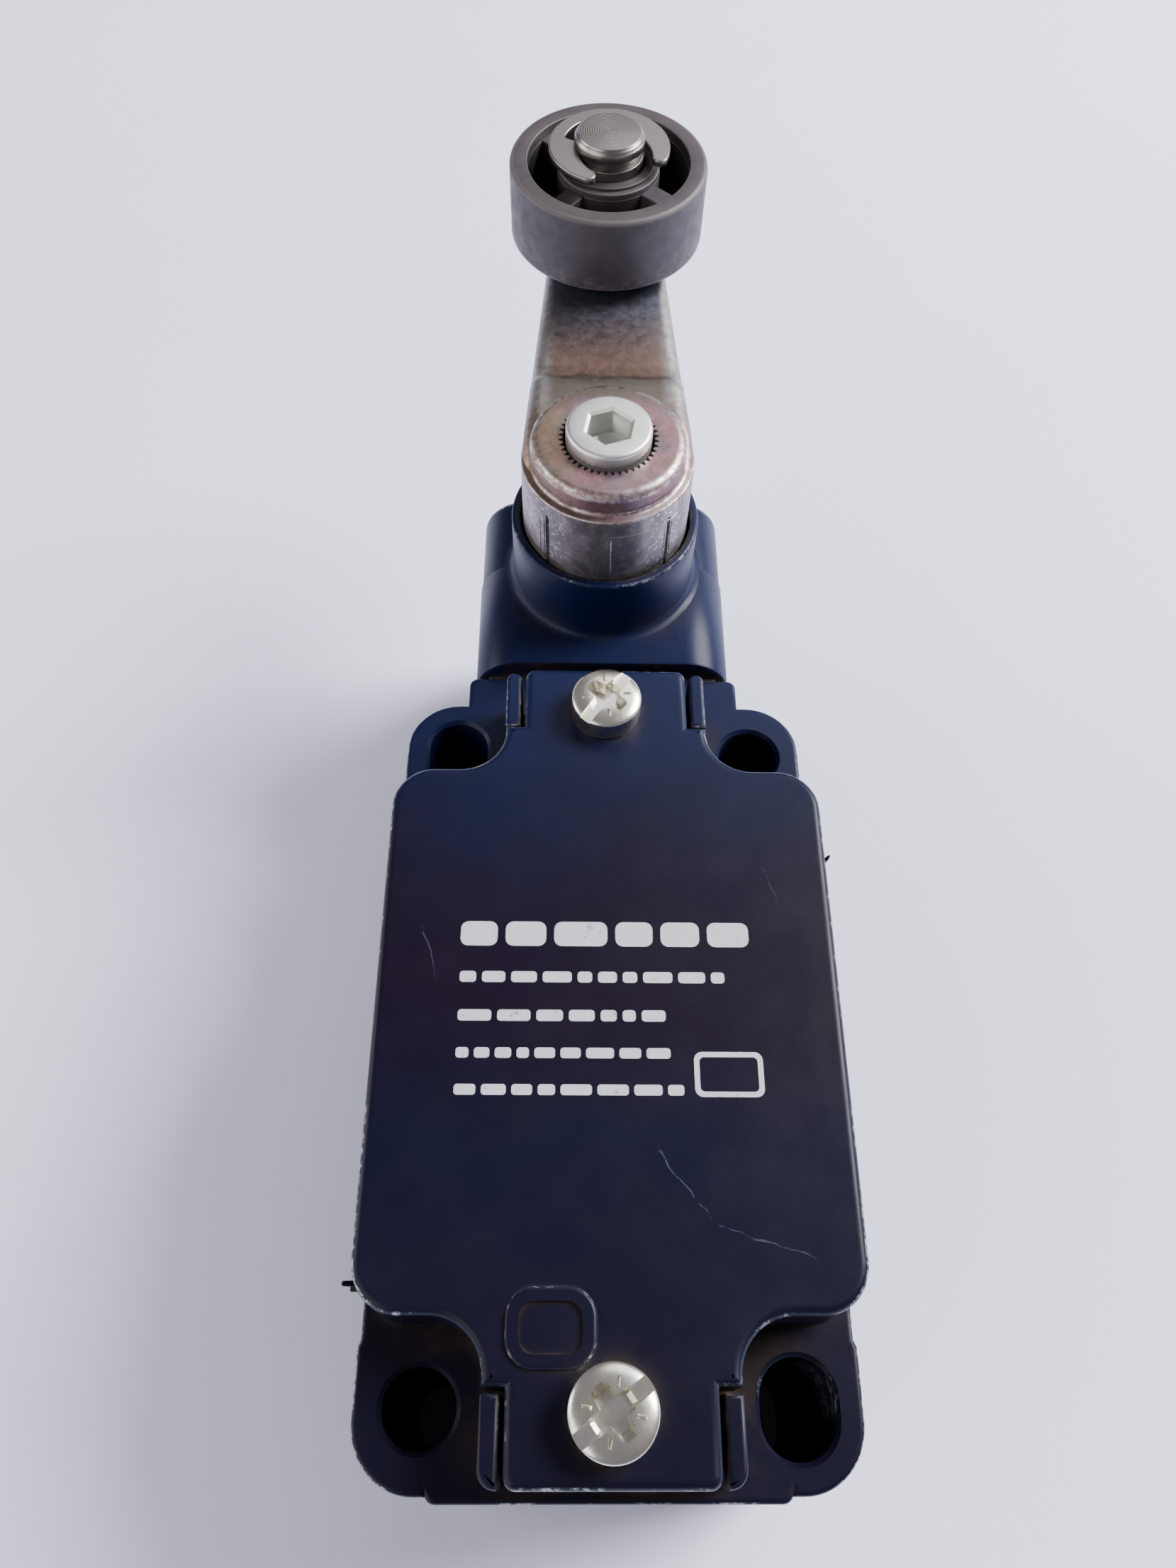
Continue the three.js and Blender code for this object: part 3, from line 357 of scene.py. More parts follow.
class Shader:
    """A principled material, with short names for the nodes that feed it. Sizes are in millimetres."""

    def __init__(self, name, color=None, roughness=None, metallic=0.0):
        self.material = bpy.data.materials.new(name)
        self.material.use_nodes = True
        self.tree = self.material.node_tree
        self.tree.nodes.clear()
        output = self.node("OutputMaterial")
        self.surface = self.node("BsdfPrincipled")
        self.feed(output.inputs[0], self.surface.outputs[0])
        self.place = self.node("TexCoord").outputs["Object"]
        self.color, self.roughness, self.metallic = color, roughness, metallic
        self.height = None

    def node(self, kind, sockets=(), **settings):
        """A node with its settings, and a number or a node's output for each of its sockets named."""
        made = self.tree.nodes.new("ShaderNode" + kind)
        for key, value in settings.items():
            setattr(made, key, value)
        for key, value in dict(sockets).items():
            self.feed(made.inputs[key], value)
        return made

    def feed(self, socket, value):
        if isinstance(value, bpy.types.NodeSocket):
            self.tree.links.new(value, socket)
        elif isinstance(value, tuple) and len(value) == 3 and len(socket.default_value) == 4:
            socket.default_value = value + (1.0,)
        else:
            socket.default_value = value

    def math(self, operation, a, b=0.0, clamp=False):
        return self.node("Math", {0: a, 1: b}, operation=operation, use_clamp=clamp).outputs[0]

    def times(self, product, *factors):
        for factor in factors:
            product = self.math("MULTIPLY", product, factor)
        return product

    def plus(self, a, b):
        return self.math("ADD", a, b)

    def minus(self, a, b):
        return self.math("SUBTRACT", a, b)

    def scaled(self, stretch=(1, 1, 1), shift=(0, 0, 0)):
        """The place on the piece."""
        sockets = {"Vector": self.place, "Scale": [s / MM for s in stretch], "Location": shift}
        return self.node("Mapping", sockets).outputs[0]

    def coordinate(self, axis):
        return self.node("SeparateXYZ", {0: self.scaled()}).outputs[axis]

    def off_middle(self, axis):
        return self.math("ABSOLUTE", self.coordinate(axis))

    def noise(self, size, detail=3.0, roughness=0.55, stretch=(1, 1, 1), shift=(0, 0, 0), distortion=0.0):
        sockets = {
            "Vector": self.scaled(stretch, shift),
            "Scale": 1.0 / size,
            "Detail": detail,
            "Roughness": roughness,
            "Distortion": distortion,
        }
        return self.node("TexNoise", sockets).outputs["Fac"]

    def cells(self, size):
        sockets = {"Vector": self.scaled(), "Scale": 1.0 / size}
        return self.node("TexVoronoi", sockets).outputs["Distance"]

    def span(self, value, low, high, to_low=0.0, to_high=1.0):
        """Value mapped from low..high to to_low..to_high, smooth and clamped."""
        sockets = {"Value": value, "From Min": low, "From Max": high, "To Min": to_low, "To Max": to_high}
        return self.node("MapRange", sockets, interpolation_type="SMOOTHSTEP").outputs["Result"]

    def patches(self, low, high, *size, to=(0.0, 1.0), **placing):
        """Noise mapped from low..high as span does it."""
        return self.span(self.noise(*size, **placing), low, high, *to)

    def blend(self, factor, a, b):
        return self.node("Mix", {"Factor": factor, 6: a, 7: b}, data_type="RGBA").outputs[2]

    def ramp(self, value, *stops):
        made = self.node("ValToRGB", {0: value})
        elements = made.color_ramp.elements
        while len(elements) < len(stops):
            elements.new(0.5)
        for element, (position, color) in zip(elements, stops):
            element.position = position
            element.color = color + (1.0,)
        return made.outputs[0]

    def wear(self):
        """1 on the rounded edges of a piece, from its own mesh attribute: where they are worn, and where a
        highlight is painted on them.
        """
        return self.node("Attribute", attribute_name="wear").outputs["Fac"]

    def crevice(self, distance, low, high):
        """1 deep in a crevice, 0 in the open."""
        unshaded = self.node("AmbientOcclusion", {"Distance": distance * MM}, samples=8).outputs["AO"]
        return self.span(self.math("SUBTRACT", 1.0, unshaded, clamp=True), low, high)

    def add_height(self, height, amount):
        """Adds a height in millimetres to the surface relief."""
        part = self.times(height, amount)
        self.height = part if self.height is None else self.plus(self.height, part)

    def coat_over(self, factor, color, roughness=None, metallic=None):
        """Lays another finish over the present one where factor is 1."""
        self.color = self.blend(factor, self.color, color)
        for key, value in (("roughness", roughness), ("metallic", metallic)):
            if value is not None:
                sockets = {"Factor": factor, 2: getattr(self, key), 3: value}
                setattr(self, key, self.node("Mix", sockets, data_type="FLOAT").outputs[0])

    def done(self, **settings):
        for key in ("color", "roughness", "metallic"):
            socket = "Base Color" if key == "color" else key.capitalize()
            self.feed(self.surface.inputs[socket], getattr(self, key))
        if self.height is not None:
            bump = self.node("Bump", {"Strength": 1.0, "Distance": MM, "Height": self.height})
            self.feed(self.surface.inputs["Normal"], bump.outputs[0])
        for key, value in settings.items():
            self.surface.inputs[key.replace("_", " ")].default_value = value
        return self.material


def scratch(shader, start, end, width, shift=(0, 0, 0)):
    """1 along a thin wavering line from start to end, seen from +Z."""
    (x0, y0), (x1, y1) = start, end
    length = math.dist(start, end)
    ux, uy = (x1 - x0) / length, (y1 - y0) / length
    x = shader.minus(shader.coordinate("X"), x0)
    y = shader.minus(shader.coordinate("Y"), y0)
    along = shader.plus(shader.times(x, ux), shader.times(y, uy))
    across = shader.minus(shader.times(x, -uy), shader.times(y, -ux))
    waver = shader.minus(shader.noise(3.0, 2.0, shift=shift), 0.5)
    across = shader.plus(across, shader.times(waver, 1.6))
    line = shader.span(shader.math("ABSOLUTE", across), width, width * 0.3)
    begun = shader.span(along, 0.0, 0.4)
    ended = shader.span(along, length, length - 1.5)
    return shader.times(line, begun, ended, shader.patches(0.35, 0.6, 0.9, 3.0, shift=shift))


def navy_paint(name, scratches=()):
    """Semi-gloss dark navy powder paint, grimy in its corners and worn to metal on its edges, with a painted
    reflection along it and a painted bluish highlight on its rounded edges.
    """
    shader = Shader(name)
    # The colour ramp along Y paints reflection: brownish across the middle, lighter blue towards +Y.
    waver = shader.times(shader.minus(shader.noise(16.0, 3.0), 0.5), 24.0)
    shader.color = shader.ramp(
        shader.span(shader.plus(shader.coordinate("Y"), waver), -40.0, 60.0),
        (0.05, (0.0036, 0.0030, 0.0115)),
        (0.20, (0.0027, 0.0028, 0.0130)),
        (0.36, (0.0052, 0.0020, 0.0090)),
        (0.50, (0.0045, 0.0022, 0.0100)),
        (0.64, (0.0028, 0.0034, 0.0175)),
        (0.85, (0.0034, 0.0060, 0.0300)),
    )
    shader.roughness = shader.patches(0.3, 0.75, 5.0, 4.0, to=(0.34, 0.41))
    shader.add_height(shader.noise(1.1, 2.0), 0.010)
    shader.add_height(shader.noise(0.22, 2.0), 0.0022)
    motes = shader.patches(0.70, 0.80, 0.35, 5.0, 0.7, shift=(7, 3, 1))
    shader.coat_over(shader.times(motes, 0.12), (0.20, 0.19, 0.19), 0.7)
    for start, end, width, strength in scratches:
        mask = scratch(shader, start, end, width, shift=(start[0], end[1], 2))
        shader.coat_over(shader.times(mask, strength), (0.075, 0.085, 0.13), 0.6)
    patch = shader.patches(0.36, 0.62, 7.0, 4.0, 0.6, shift=(2, 9, 4))
    above_base = shader.span(shader.coordinate("Z"), BASE_TOP - 1.5, BASE_TOP - 0.5)
    film = shader.times(shader.crevice(6.0, 0.10, 0.55), patch, above_base)
    shader.coat_over(shader.times(film, 0.765), (0.024, 0.014, 0.009), 0.6)
    uneven = shader.patches(0.42, 0.66, 1.6, 6.0, 0.7, shift=(5, 1, 8))
    dust = shader.times(shader.crevice(1.6, 0.30, 0.75), uneven)
    shader.coat_over(shader.times(dust, 0.63), (0.11, 0.095, 0.065), 0.9)
    rubbed = shader.patches(0.50, 0.64, 6.0, 5.0, 0.65, shift=(1, 5, 3))
    at_side = shader.span(shader.off_middle("X"), 16.8, 19.0)
    at_end = shader.span(shader.off_middle("Y"), 12.0, 20.0)
    rubbed = shader.math("MAXIMUM", rubbed, shader.times(at_side, at_end, 0.9))
    chipped = shader.patches(0.48, 0.58, 0.8, 5.0, 0.75, shift=(4, 4, 0))
    bare = shader.times(rubbed, chipped, shader.wear())
    # A painted bluish highlight on the rounded edges.
    shader.coat_over(shader.times(shader.wear(), 0.25), (0.030, 0.050, 0.090), 0.34)
    shader.coat_over(bare, (0.46, 0.47, 0.50), 0.38, 0.85)
    return shader.done(Specular_IOR_Level=0.15)


def zinc_chromate(name):
    """Die-cast zinc with an iridescent chromate film: brown, pink, green and grey-blue."""
    shader = Shader(name, metallic=0.92)
    drift = shader.noise(7.0, 2.0, 0.5, distortion=0.6)
    film = shader.ramp(
        drift,
        (0.30, (0.140, 0.130, 0.140)),
        (0.42, (0.185, 0.132, 0.105)),
        (0.52, (0.255, 0.132, 0.150)),
        (0.62, (0.185, 0.128, 0.135)),
        (0.75, (0.195, 0.130, 0.195)),
    )
    left = shader.times(shader.span(shader.coordinate("X"), -2.0, -7.0), shader.span(drift, 0.35, 0.55))
    film = shader.blend(shader.times(left, 0.6), film, (0.205, 0.160, 0.070))
    grain = shader.patches(0.35, 0.7, 0.9, 6.0, 0.7, shift=(3, 8, 2))
    film = shader.blend(shader.times(grain, 0.2), film, (0.36, 0.33, 0.32))
    along = shader.coordinate("Y")
    waver = shader.times(shader.minus(shader.noise(5.0, 1.0), 0.5), 2.5)
    cool = shader.span(shader.plus(along, waver), 64.5, 77.0)
    arm = shader.blend(cool, (0.175, 0.110, 0.090), (0.135, 0.145, 0.195))
    # Darker on the pad between the ring and the step in the arm: painted shade.
    arm = shader.blend(shader.span(along, 62.6, 63.8), (0.115, 0.100, 0.082), arm)
    arm = shader.blend(shader.span(shader.off_middle("X"), 5.2, 6.8), arm, (0.26, 0.245, 0.24))
    film = shader.blend(shader.span(along, 57.0, 60.5), film, arm)
    gunmetal = shader.ramp(
        shader.noise(2.6, 5.0, 0.6, stretch=(1, 1, 0.35), shift=(0, 2, 0)),
        (0.35, (0.170, 0.155, 0.185)),
        (0.55, (0.260, 0.225, 0.235)),
        (0.7, (0.42, 0.38, 0.38)),
    )
    low = shader.span(shader.coordinate("Z"), 49.2, 48.6)
    side_wall = shader.times(low, shader.span(along, 60.5, 58.0))
    film = shader.blend(side_wall, film, gunmetal)
    blot = shader.patches(0.40, 0.66, 1.3, 5.0, 0.7, shift=(4, 1, 6))
    shader.color = shader.blend(shader.times(blot, 0.36), film, (0.085, 0.068, 0.060))
    shader.roughness = shader.patches(0.3, 0.7, 1.0, 5.0, 0.7, to=(0.38, 0.54))
    shader.add_height(shader.noise(0.6, 4.0, 0.7), 0.003)
    shader.add_height(shader.noise(0.13, 2.0), 0.006)
    flecks = shader.times(shader.patches(0.55, 0.64, 0.45, 4.0, 0.8, shift=(8, 8, 8)), side_wall)
    by_slits = shader.span(shader.off_middle("X"), 2.5, 5.5, 0.25, 1.0)
    shader.coat_over(shader.times(flecks, by_slits), (0.66, 0.62, 0.60), 0.35)
    sparse = shader.patches(0.50, 0.60, 1.2, 3.0, shift=(6, 6, 1))
    pits = shader.times(shader.span(shader.cells(0.75), 0.16, 0.06), sparse)
    shader.coat_over(shader.times(pits, 0.75), (0.030, 0.024, 0.020), 0.8, 0.2)
    # Darker in crevices and under the roller: painted shade, with some grime.
    shader.coat_over(shader.times(shader.crevice(1.5, 0.35, 0.9), 0.8), (0.030, 0.023, 0.018), 0.85, 0.1)
    # Lighter metal on the rounded edges and fillets: partly bare worn zinc, partly a painted highlight.
    bright = shader.times(shader.wear(), shader.patches(0.40, 0.62, 0.9, 5.0, 0.7))
    shader.coat_over(shader.times(bright, 0.6), (0.66, 0.58, 0.55), 0.27, 1.0)
    return shader.done()


def steel(name, color, roughness, tint=(0.30, 0.24, 0.15), stain=0.3, turned_about=None):
    """Bare or plated steel, a little stained. Turned faces get fine rings about their axis."""
    shader = Shader(name, color, roughness, 1.0)
    patch = shader.patches(0.42, 0.68, 1.4, 5.0, 0.65)
    shader.coat_over(shader.times(patch, stain), tint, roughness + 0.12)
    shader.add_height(shader.noise(0.25, 3.0), 0.004)
    if turned_about is not None:
        offsets = [shader.minus(shader.coordinate(axis), at) for axis, at in zip("XY", turned_about)]
        squared = shader.plus(*(shader.times(offset, offset) for offset in offsets))
        rings = shader.math("SINE", shader.times(shader.math("SQRT", squared), 26.0))
        shader.add_height(rings, 0.006)
    # Darker in crevices and recesses: painted shade, with some grime.
    grime_and_crevice_shade = shader.times(shader.crevice(1.2, 0.35, 0.80), 0.7)
    shader.coat_over(grime_and_crevice_shade, (0.110, 0.090, 0.065), 0.7, 0.4)
    return shader.done()


def plastic(name, dark, light, roughness):
    shader = Shader(name)
    shader.color = shader.blend(shader.patches(0.3, 0.75, 2.0, 5.0, 0.65), dark, light)
    shader.roughness = shader.patches(0.3, 0.7, 2.0 / 3, 4.0, to=(roughness - 0.06, roughness + 0.08))
    shader.add_height(shader.noise(0.35, 3.0), 0.01)
    return shader.done()


def roller_plastic(name):
    """Matte brownish-grey moulded plastic, dusty towards the lower edge of its tread, and lighter on its
    rounded edges: partly wear, partly a painted highlight.
    """
    shader = Shader(name)
    cloud = shader.patches(0.3, 0.7, 3.0, 5.0, 0.6)
    shader.color = shader.blend(cloud, (0.033, 0.026, 0.031), (0.045, 0.035, 0.041))
    rubbed = shader.patches(0.45, 0.7, 1.0, 5.0, 0.7, stretch=(1, 1, 2.5), shift=(1, 1, 1))
    below = shader.span(shader.coordinate("Z"), 54.2, 51.8)
    shader.coat_over(shader.times(rubbed, below, 0.55), (0.150, 0.125, 0.105))
    # Lighter on the rounded edges: partly wear, partly a painted highlight.
    shader.coat_over(shader.times(shader.wear(), 0.35), (0.17, 0.155, 0.15))
    shader.add_height(shader.noise(0.18, 3.0), 0.010)
    shader.roughness = shader.patches(0.3, 0.7, 1.2, 4.0, to=(0.46, 0.62))
    return shader.done(Specular_IOR_Level=0.4)


def print_ink(name):
    """Pale grey printing, rubbed thin in places."""
    shader = Shader(name, (0.40, 0.42, 0.47), 0.6)
    thin = shader.patches(0.58, 0.72, 0.8, 5.0, 0.7)
    shader.coat_over(shader.times(thin, 0.7), (0.06, 0.065, 0.11), 0.45)
    return shader.done()


def paper(name):
    shader = Shader(name, roughness=0.85)
    tone = shader.patches(0.3, 0.7, 90.0, 3.0)
    shader.color = shader.blend(tone, (0.74, 0.75, 0.945), (0.76, 0.77, 0.96))
    shader.add_height(shader.noise(0.8, 4.0, 0.7), 0.02)
    return shader.done(Specular_IOR_Level=0.2)


# ---- pieces


def piece(obj, name, body, material, replaces=(), sharp=32):
    """Finishes a shape built in millimetres, and has it ride on its body in place of CAD nodes."""
    obj.name = name
    mesh = obj.data
    mesh.name = name
    mesh.transform(Matrix.Scale(MM, 4))
    mesh.materials.clear()
    mesh.materials.append(material)
    mesh.shade_smooth()
    mesh.set_sharp_from_angle(angle=math.radians(sharp))
    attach(obj, body)
    if replaces:
        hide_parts(*replaces)
    return obj


def housing_outline():
    def quarter(end):
        side = [(20.0, 25.0), (20.25, 25.6)] + arc(15.05, 30.8, 5.2, 0, 90, 16)
        return side + [(14.25, 36.0)] + arc(13.35, end - 0.9, 0.9, 0, 90, 6)

    return mirrored(quarter(39.5), quarter(36.5))


def hole_cutter(x, y, stretch):
    """A fixing hole with a small chamfer at both ends."""
    outline = arc(x, y + stretch, 3.0, 0, 180, 20) + arc(x, y - stretch, 3.0, 180, 360, 20)
    chamfer, past = 0.35, 0.5
    wide = -chamfer - past
    layers = [(-past, wide, 0), (chamfer, 0, 0), (BASE_TOP - chamfer, 0, 0), (BASE_TOP + past, wide, 0)]
    return stacked("hole", outline, layers)


def make_housing(paint):
    low_edge, high_edge = rounded_end(0.0, 0.35, 3, 0.15, up=False), rounded_end(BASE_TOP, 0.35, 3, 0.15)
    body = stacked("housing", housing_outline(), low_edge[::-1] + high_edge)
    cavity = mirrored(arc(15.2, 19.8, 2.0, 0, 90, 6) + [(7.6, 21.8)] + arc(6.1, 25.5, 1.5, 0, 90, 6))
    quarters = [(sx, sy) for sx in (-1, 1) for sy in (-1, 1)]
    holes = [hole_cutter(sx * HOLE_X, sy * HOLE_Y, 0.75 if sx * sy < 0 else 0.0) for sx, sy in quarters]
    entry = [(0, -37.5), (10.6, -37.5), (9.25, -35.8), (9.25, -20.8), (0, -20.8)]
    rod_way = [(0, 26), (3.1, 26), (3.1, 35.5), (5.8, 35.5), (5.8, 40.5), (0, 40.5)]
    cutters = [
        joined(holes),
        prism("cavity", cavity, CAVITY_FLOOR, 31.0),
        along_y(revolved("entry", entry, 96), z=ENTRY_Z),
        along_y(revolved("rod_way", rod_way, 48)),
    ]
    cut(body, cutters)
    ribs = [make_rib(sx, sy) for sx, sy in quarters]
    low = CAVITY_FLOOR - 0.1
    tall = [(0, low), (3.3, low), (3.3, 9.8), (3.1, 10.0), (0, 10.0)]
    short = [(0, low), (2.8, low), (2.8, 7.9), (0, 7.9)]
    bosses = [revolved("boss", tall, 40, (-12.2, -17.9))]
    bosses += [revolved("boss", short, 32, place) for place in ((13.2, 18.4), (-13.2, -10.6))]
    threads = [thread_ring(-35.4 + THREAD_PITCH * i) for i in range(9)]
    whole = joined([body] + ribs + bosses + threads)
    piece(whole, "housing_casting", BODY, paint, ["housing"])


def thread_ring(y):
    """One ridge of the cable entry's thread, a turn of a shallow helix."""
    steps = 72
    ridge = ((9.35, 0.0), (8.75, 0.5), (8.75, 0.8), (9.35, 1.3))
    columns = []
    for i in range(steps + 1):
        angle = 2 * math.pi * i / steps
        start = y + THREAD_PITCH * i / steps
        columns.append([(r * math.cos(angle), start + dy, ENTRY_Z + r * math.sin(angle)) for r, dy in ridge])
    return sheet("ridge", columns, around=False)


def make_rib(sx, sy):
    """A rib beside a tab of the cover. The upper ones are domed at their outer end."""
    radius = 0.7 if sy > 0 else 1.35
    outline = (
        [(8.35, 29.2), (9.85, 29.2)]
        + arc(9.85 - radius, 35.4 - radius, radius, 0, 90, 8)
        + ([(8.35, 35.4)] if sy < 0 else arc(9.05, 34.7, 0.7, 90, 180, 8))
    )
    outline = [(x * sx, y * sy) for x, y in outline]
    if sx * sy < 0:
        outline.reverse()
    return stacked("rib", outline, [(BASE_TOP - 0.5, 0, 0)] + rounded_end(37.2, 0.32, 3, 0.1))


def cover_outline():
    side = arc(16.2, 20.0, 4.0, 0, 90, 18) + arc(14.0, 28.2, 4.2, -90, -180, 20)
    return mirrored(side + [(9.8, 28.8), (8.0, 28.8)] + arc(7.0, 34.5, 1.0, 0, 90, 8))


def make_cover(paint):
    layers = [(COVER_BOTTOM, 0.0, 0.0), (COVER_BOTTOM + 1.2, 0.02, 0.0)]
    layers += [(z, inset + 0.05, wear) for z, inset, wear in rounded_end(COVER_TOP, 0.7, 5, 0.15)]
    cover = stacked("cover", cover_outline(), layers)
    room = prism("room", rounded_rectangle(18.0, 21.8, 1.8), COVER_BOTTOM - 1, 35.8)
    hole = [(0, 29), (2.3, 29), (2.3, 37.6), (3.0, 38.3), (0, 38.3)]
    holes = [revolved("hole", hole, 48, (0, y)) for y in (-COVER_SCREW_Y, COVER_SCREW_Y)]
    cut(cover, [room, joined(holes)])
    piece(cover, "cover_casting", BODY, paint, ["cover"])


def make_gasket_tongues(rubber):
    """Two tongues of the gasket, squeezed out under the cover and curled up beside it."""
    steps, root_x, root_z = 14, 20.0, 30.55
    tongues = []
    rows = ((-1, 20.94, -20.9, -21.5, 35.9), (1, 20.64, 16.6, 15.2, 37.3))
    for side, tip_x, root_y, tip_y, tip_z in rows:
        width, height = tip_x - root_x, tip_z - root_z
        stations = []
        for i in range(steps + 1):
            share = i / steps
            out, rise = math.sin(share * math.pi / 2), 1 - math.cos(share * math.pi / 2)
            y, z = root_y + (tip_y - root_y) * rise, root_z + height * rise
            half_y, half_x = (0.30 - 0.10 * share, 0.22 - 0.09 * share) if i < steps else (0.09, 0.05)
            lean = Vector((side * height * out, 0, -width * (1 - rise))).normalized()
            middle = Vector((side * (root_x + width * out), y, z))
            stations.append((middle, Vector((0, half_y, 0)), lean * half_x))
        tongues.append(swept("tongue", stations))
    piece(joined(tongues), "cover_gasket_tongues", BODY, rubber)


def make_raised_mark(paint):
    """A plain raised frame near the lower screw."""
    centre = (-4.6, -24.8)
    layers = [(COVER_TOP - 0.1, 0, 0)] + rounded_end(COVER_TOP + 0.35, 0.3, 4, 0.05)
    mark = stacked("mark", rounded_rectangle(3.5, 2.9, 2.2, 10, centre), layers)
    inside = rounded_rectangle(2.45, 1.85, 1.2, 10, centre)
    cut(mark, [prism("inside", inside, COVER_TOP + 0.02, COVER_TOP + 1)])
    piece(mark, "cover_raised_mark", BODY, paint)


def make_printing(ink):
    """Rows of plain dashes and a small frame, where a maker's printing would be."""
    rng = random.Random(11)
    rows = [
        (6.95, 2.3, -13.0, 12.7, 3.4, 0.7),
        (2.95, 1.0, -12.9, 10.2, 2.0, 0.5),
        (-0.5, 1.0, -12.9, 4.9, 2.0, 0.5),
        (-3.75, 0.9, -12.9, 6.4, 1.8, 0.45),
        (-6.85, 0.9, -12.9, 6.2, 1.8, 0.45),
    ]
    layers = [(COVER_TOP - 0.02, 0, 0), (COVER_TOP + 0.025, 0, 0)]
    dashes = []
    for y, height, x, end, mean, gap in rows:
        while x < end - 0.8:
            width = min(mean * rng.uniform(0.55, 1.45), end - x)
            centre = (x + width / 2, y)
            outline = rounded_rectangle(width / 2, height / 2, height * 0.3, 4, centre)
            dashes.append(stacked("dash", outline, layers))
            x += width + gap
    centre = (10.0, -5.5)
    frame = stacked("frame", rounded_rectangle(2.9, 1.9, 0.7, centre=centre), layers)
    inner = rounded_rectangle(2.45, 1.45, 0.4, centre=centre)
    cut(frame, [prism("inside", inner, COVER_TOP - 0.5, COVER_TOP + 0.5)])
    piece(joined([frame] + dashes), "cover_printing", BODY, ink)


def cross_outline(length, half):
    inner, narrow, shoulder = half * 1.2, half * 0.7, length * 0.88
    return mirrored([(length, narrow), (shoulder, half), (inner, inner), (half, shoulder), (narrow, length)])


def slotted_screw(radius, height, shank, length):
    """A screw along Z, its head's underside at 0: domed, with a slot, a cross recess and four ticks."""
    dome = height * 0.22
    profile = [(0, -length), (shank, -length), (shank, 0), (radius * 0.98, 0), (radius, 0.1)]
    for i in range(15):
        angle = math.radians(90 * i / 14)
        reach = radius * (0.38 + 0.62 * math.cos(angle))
        profile.append((reach, height - dome * (1 - math.sin(angle))))
    profile.append((0, height))
    head = revolved("screw", profile, 128)
    half, past = radius * 0.185, radius + 1
    slot = lofted(
        "slot",
        (height * 0.77, box_outline(-past, past, -half * 0.95, half * 0.95)),
        (height + 0.5, box_outline(-past, past, -half * 1.1, half * 1.1)),
    )
    cross = lofted(
        "cross",
        (height * 0.50, cross_outline(radius * 0.43, half * 0.88)),
        (height + 0.4, cross_outline(radius * 0.70, half * 1.12)),
    )
    ticks = []
    for k in range(4):
        tick = lofted(
            "tick",
            (height - 0.26, box_outline(radius * 0.56, radius * 0.66, -0.01, 0.01)),
            (height + 0.3, box_outline(radius * 0.38, radius * 0.84, -0.36, 0.36)),
        )
        ticks.append(turned(tick, 45 + 90 * k))
    return cut(head, [slot, cross, joined(ticks)])


def make_cover_screws(finish):
    for name, y, turn in (("top", COVER_SCREW_Y, 51), ("bottom", -COVER_SCREW_Y, 36)):
        screw = shifted(turned(slotted_screw(3.35, 2.7, 1.9, 12.6), turn), 0, y, COVER_TOP + 0.05)
        node = f"cover_screw_{name}"
        piece(screw, f"{node}_slotted", BODY, finish, [node], sharp=25)


# ---- head


def head_surface(x, y):
    """Height of the head's front face, which falls away at its long corners and its end."""
    drop = 0.0
    for over, radius in ((abs(x) - 8.75, 5.0), (y - HEAD_END + 1.2, 1.2)):
        over = min(radius - 0.01, max(0.0, over))
        drop += radius - math.sqrt(radius * radius - over * over)
    return 32.5 - drop


def make_collar():
    """The collar round the shaft, with a fillet that follows the head's front face."""
    radius, bore, fillet, top = 9.83, 8.95, 1.1, 40.84
    steps, segments = 6, 144
    rim = corner(radius, 30, radius, top, 0, top, 0.28, 3) + corner(12, top, bore, top, bore, 30, 0.22, 3)
    wall = [(radius, 36.0, 0), (radius, 39.0, 0)] + [(r, z, 0.3 * wear) for r, z, wear in rim]
    wall += [(bore, 37.0, 0), (bore, 34.0, 0)]
    columns = []
    for i in range(segments):
        angle = 2 * math.pi * i / segments
        c, s = math.cos(angle), math.sin(angle)
        column = []
        for k in range(steps + 1):
            reach = radius + fillet * (1 - k / steps)
            x, y = reach * c, min(SHAFT_Y + reach * s, HEAD_END - 0.02)
            rise = fillet * (1 - math.sqrt(1 - (k / steps) ** 2)) if k else -0.03
            column.append((x, y, head_surface(x, y) + rise))
        columns.append(column + [(r * c, SHAFT_Y + r * s, z, wear) for r, z, wear in wall])
    return sheet("collar", columns)


def make_head(paint):
    outline = rounded_rectangle(13.75, 13.5, 5.0, 14)
    foot = ((39.95, 0.5), (39.95, 0.3), (40.05, 0.1), (40.3, 0.0))
    groove = ((53.20, 0.0), (53.30, 0.05), (53.34, 0.13))
    layers = [(z, inset, 0.0) for z, inset in foot + groove]
    layers += [(z, inset + 0.16, wear) for z, inset, wear in rounded_end(HEAD_END, 1.2, 6, 0.2)]
    head = along_y(stacked("head", outline, layers))
    hollow = along_y(revolved("hollow", [(0, 39), (9.5, 39), (9.5, 60.3), (0, 60.3)], 72))
    room = [(0, 12), (6.3, 12), (6.3, 34.3), (8.95, 34.3), (8.95, 45), (0, 45)]
    seat = [(0, 38), (1.9, 38), (1.9, 60.5), (3.1, 60.5), (3.1, 62.9), (3.6, 63.6), (0, 63.6)]
    seats = []
    for sx in (-1, 1):
        for sz in (-1, 1):
            seats.append(along_y(revolved("seat", seat, 48), sx * HEAD_SCREW, AXIS_Z + sz * HEAD_SCREW))
    cut(head, [hollow, revolved("room", room, 72, (0, SHAFT_Y)), joined(seats)])
    piece(joined([head, make_collar()]), "head_casting", BODY, paint, ["head_housing"])


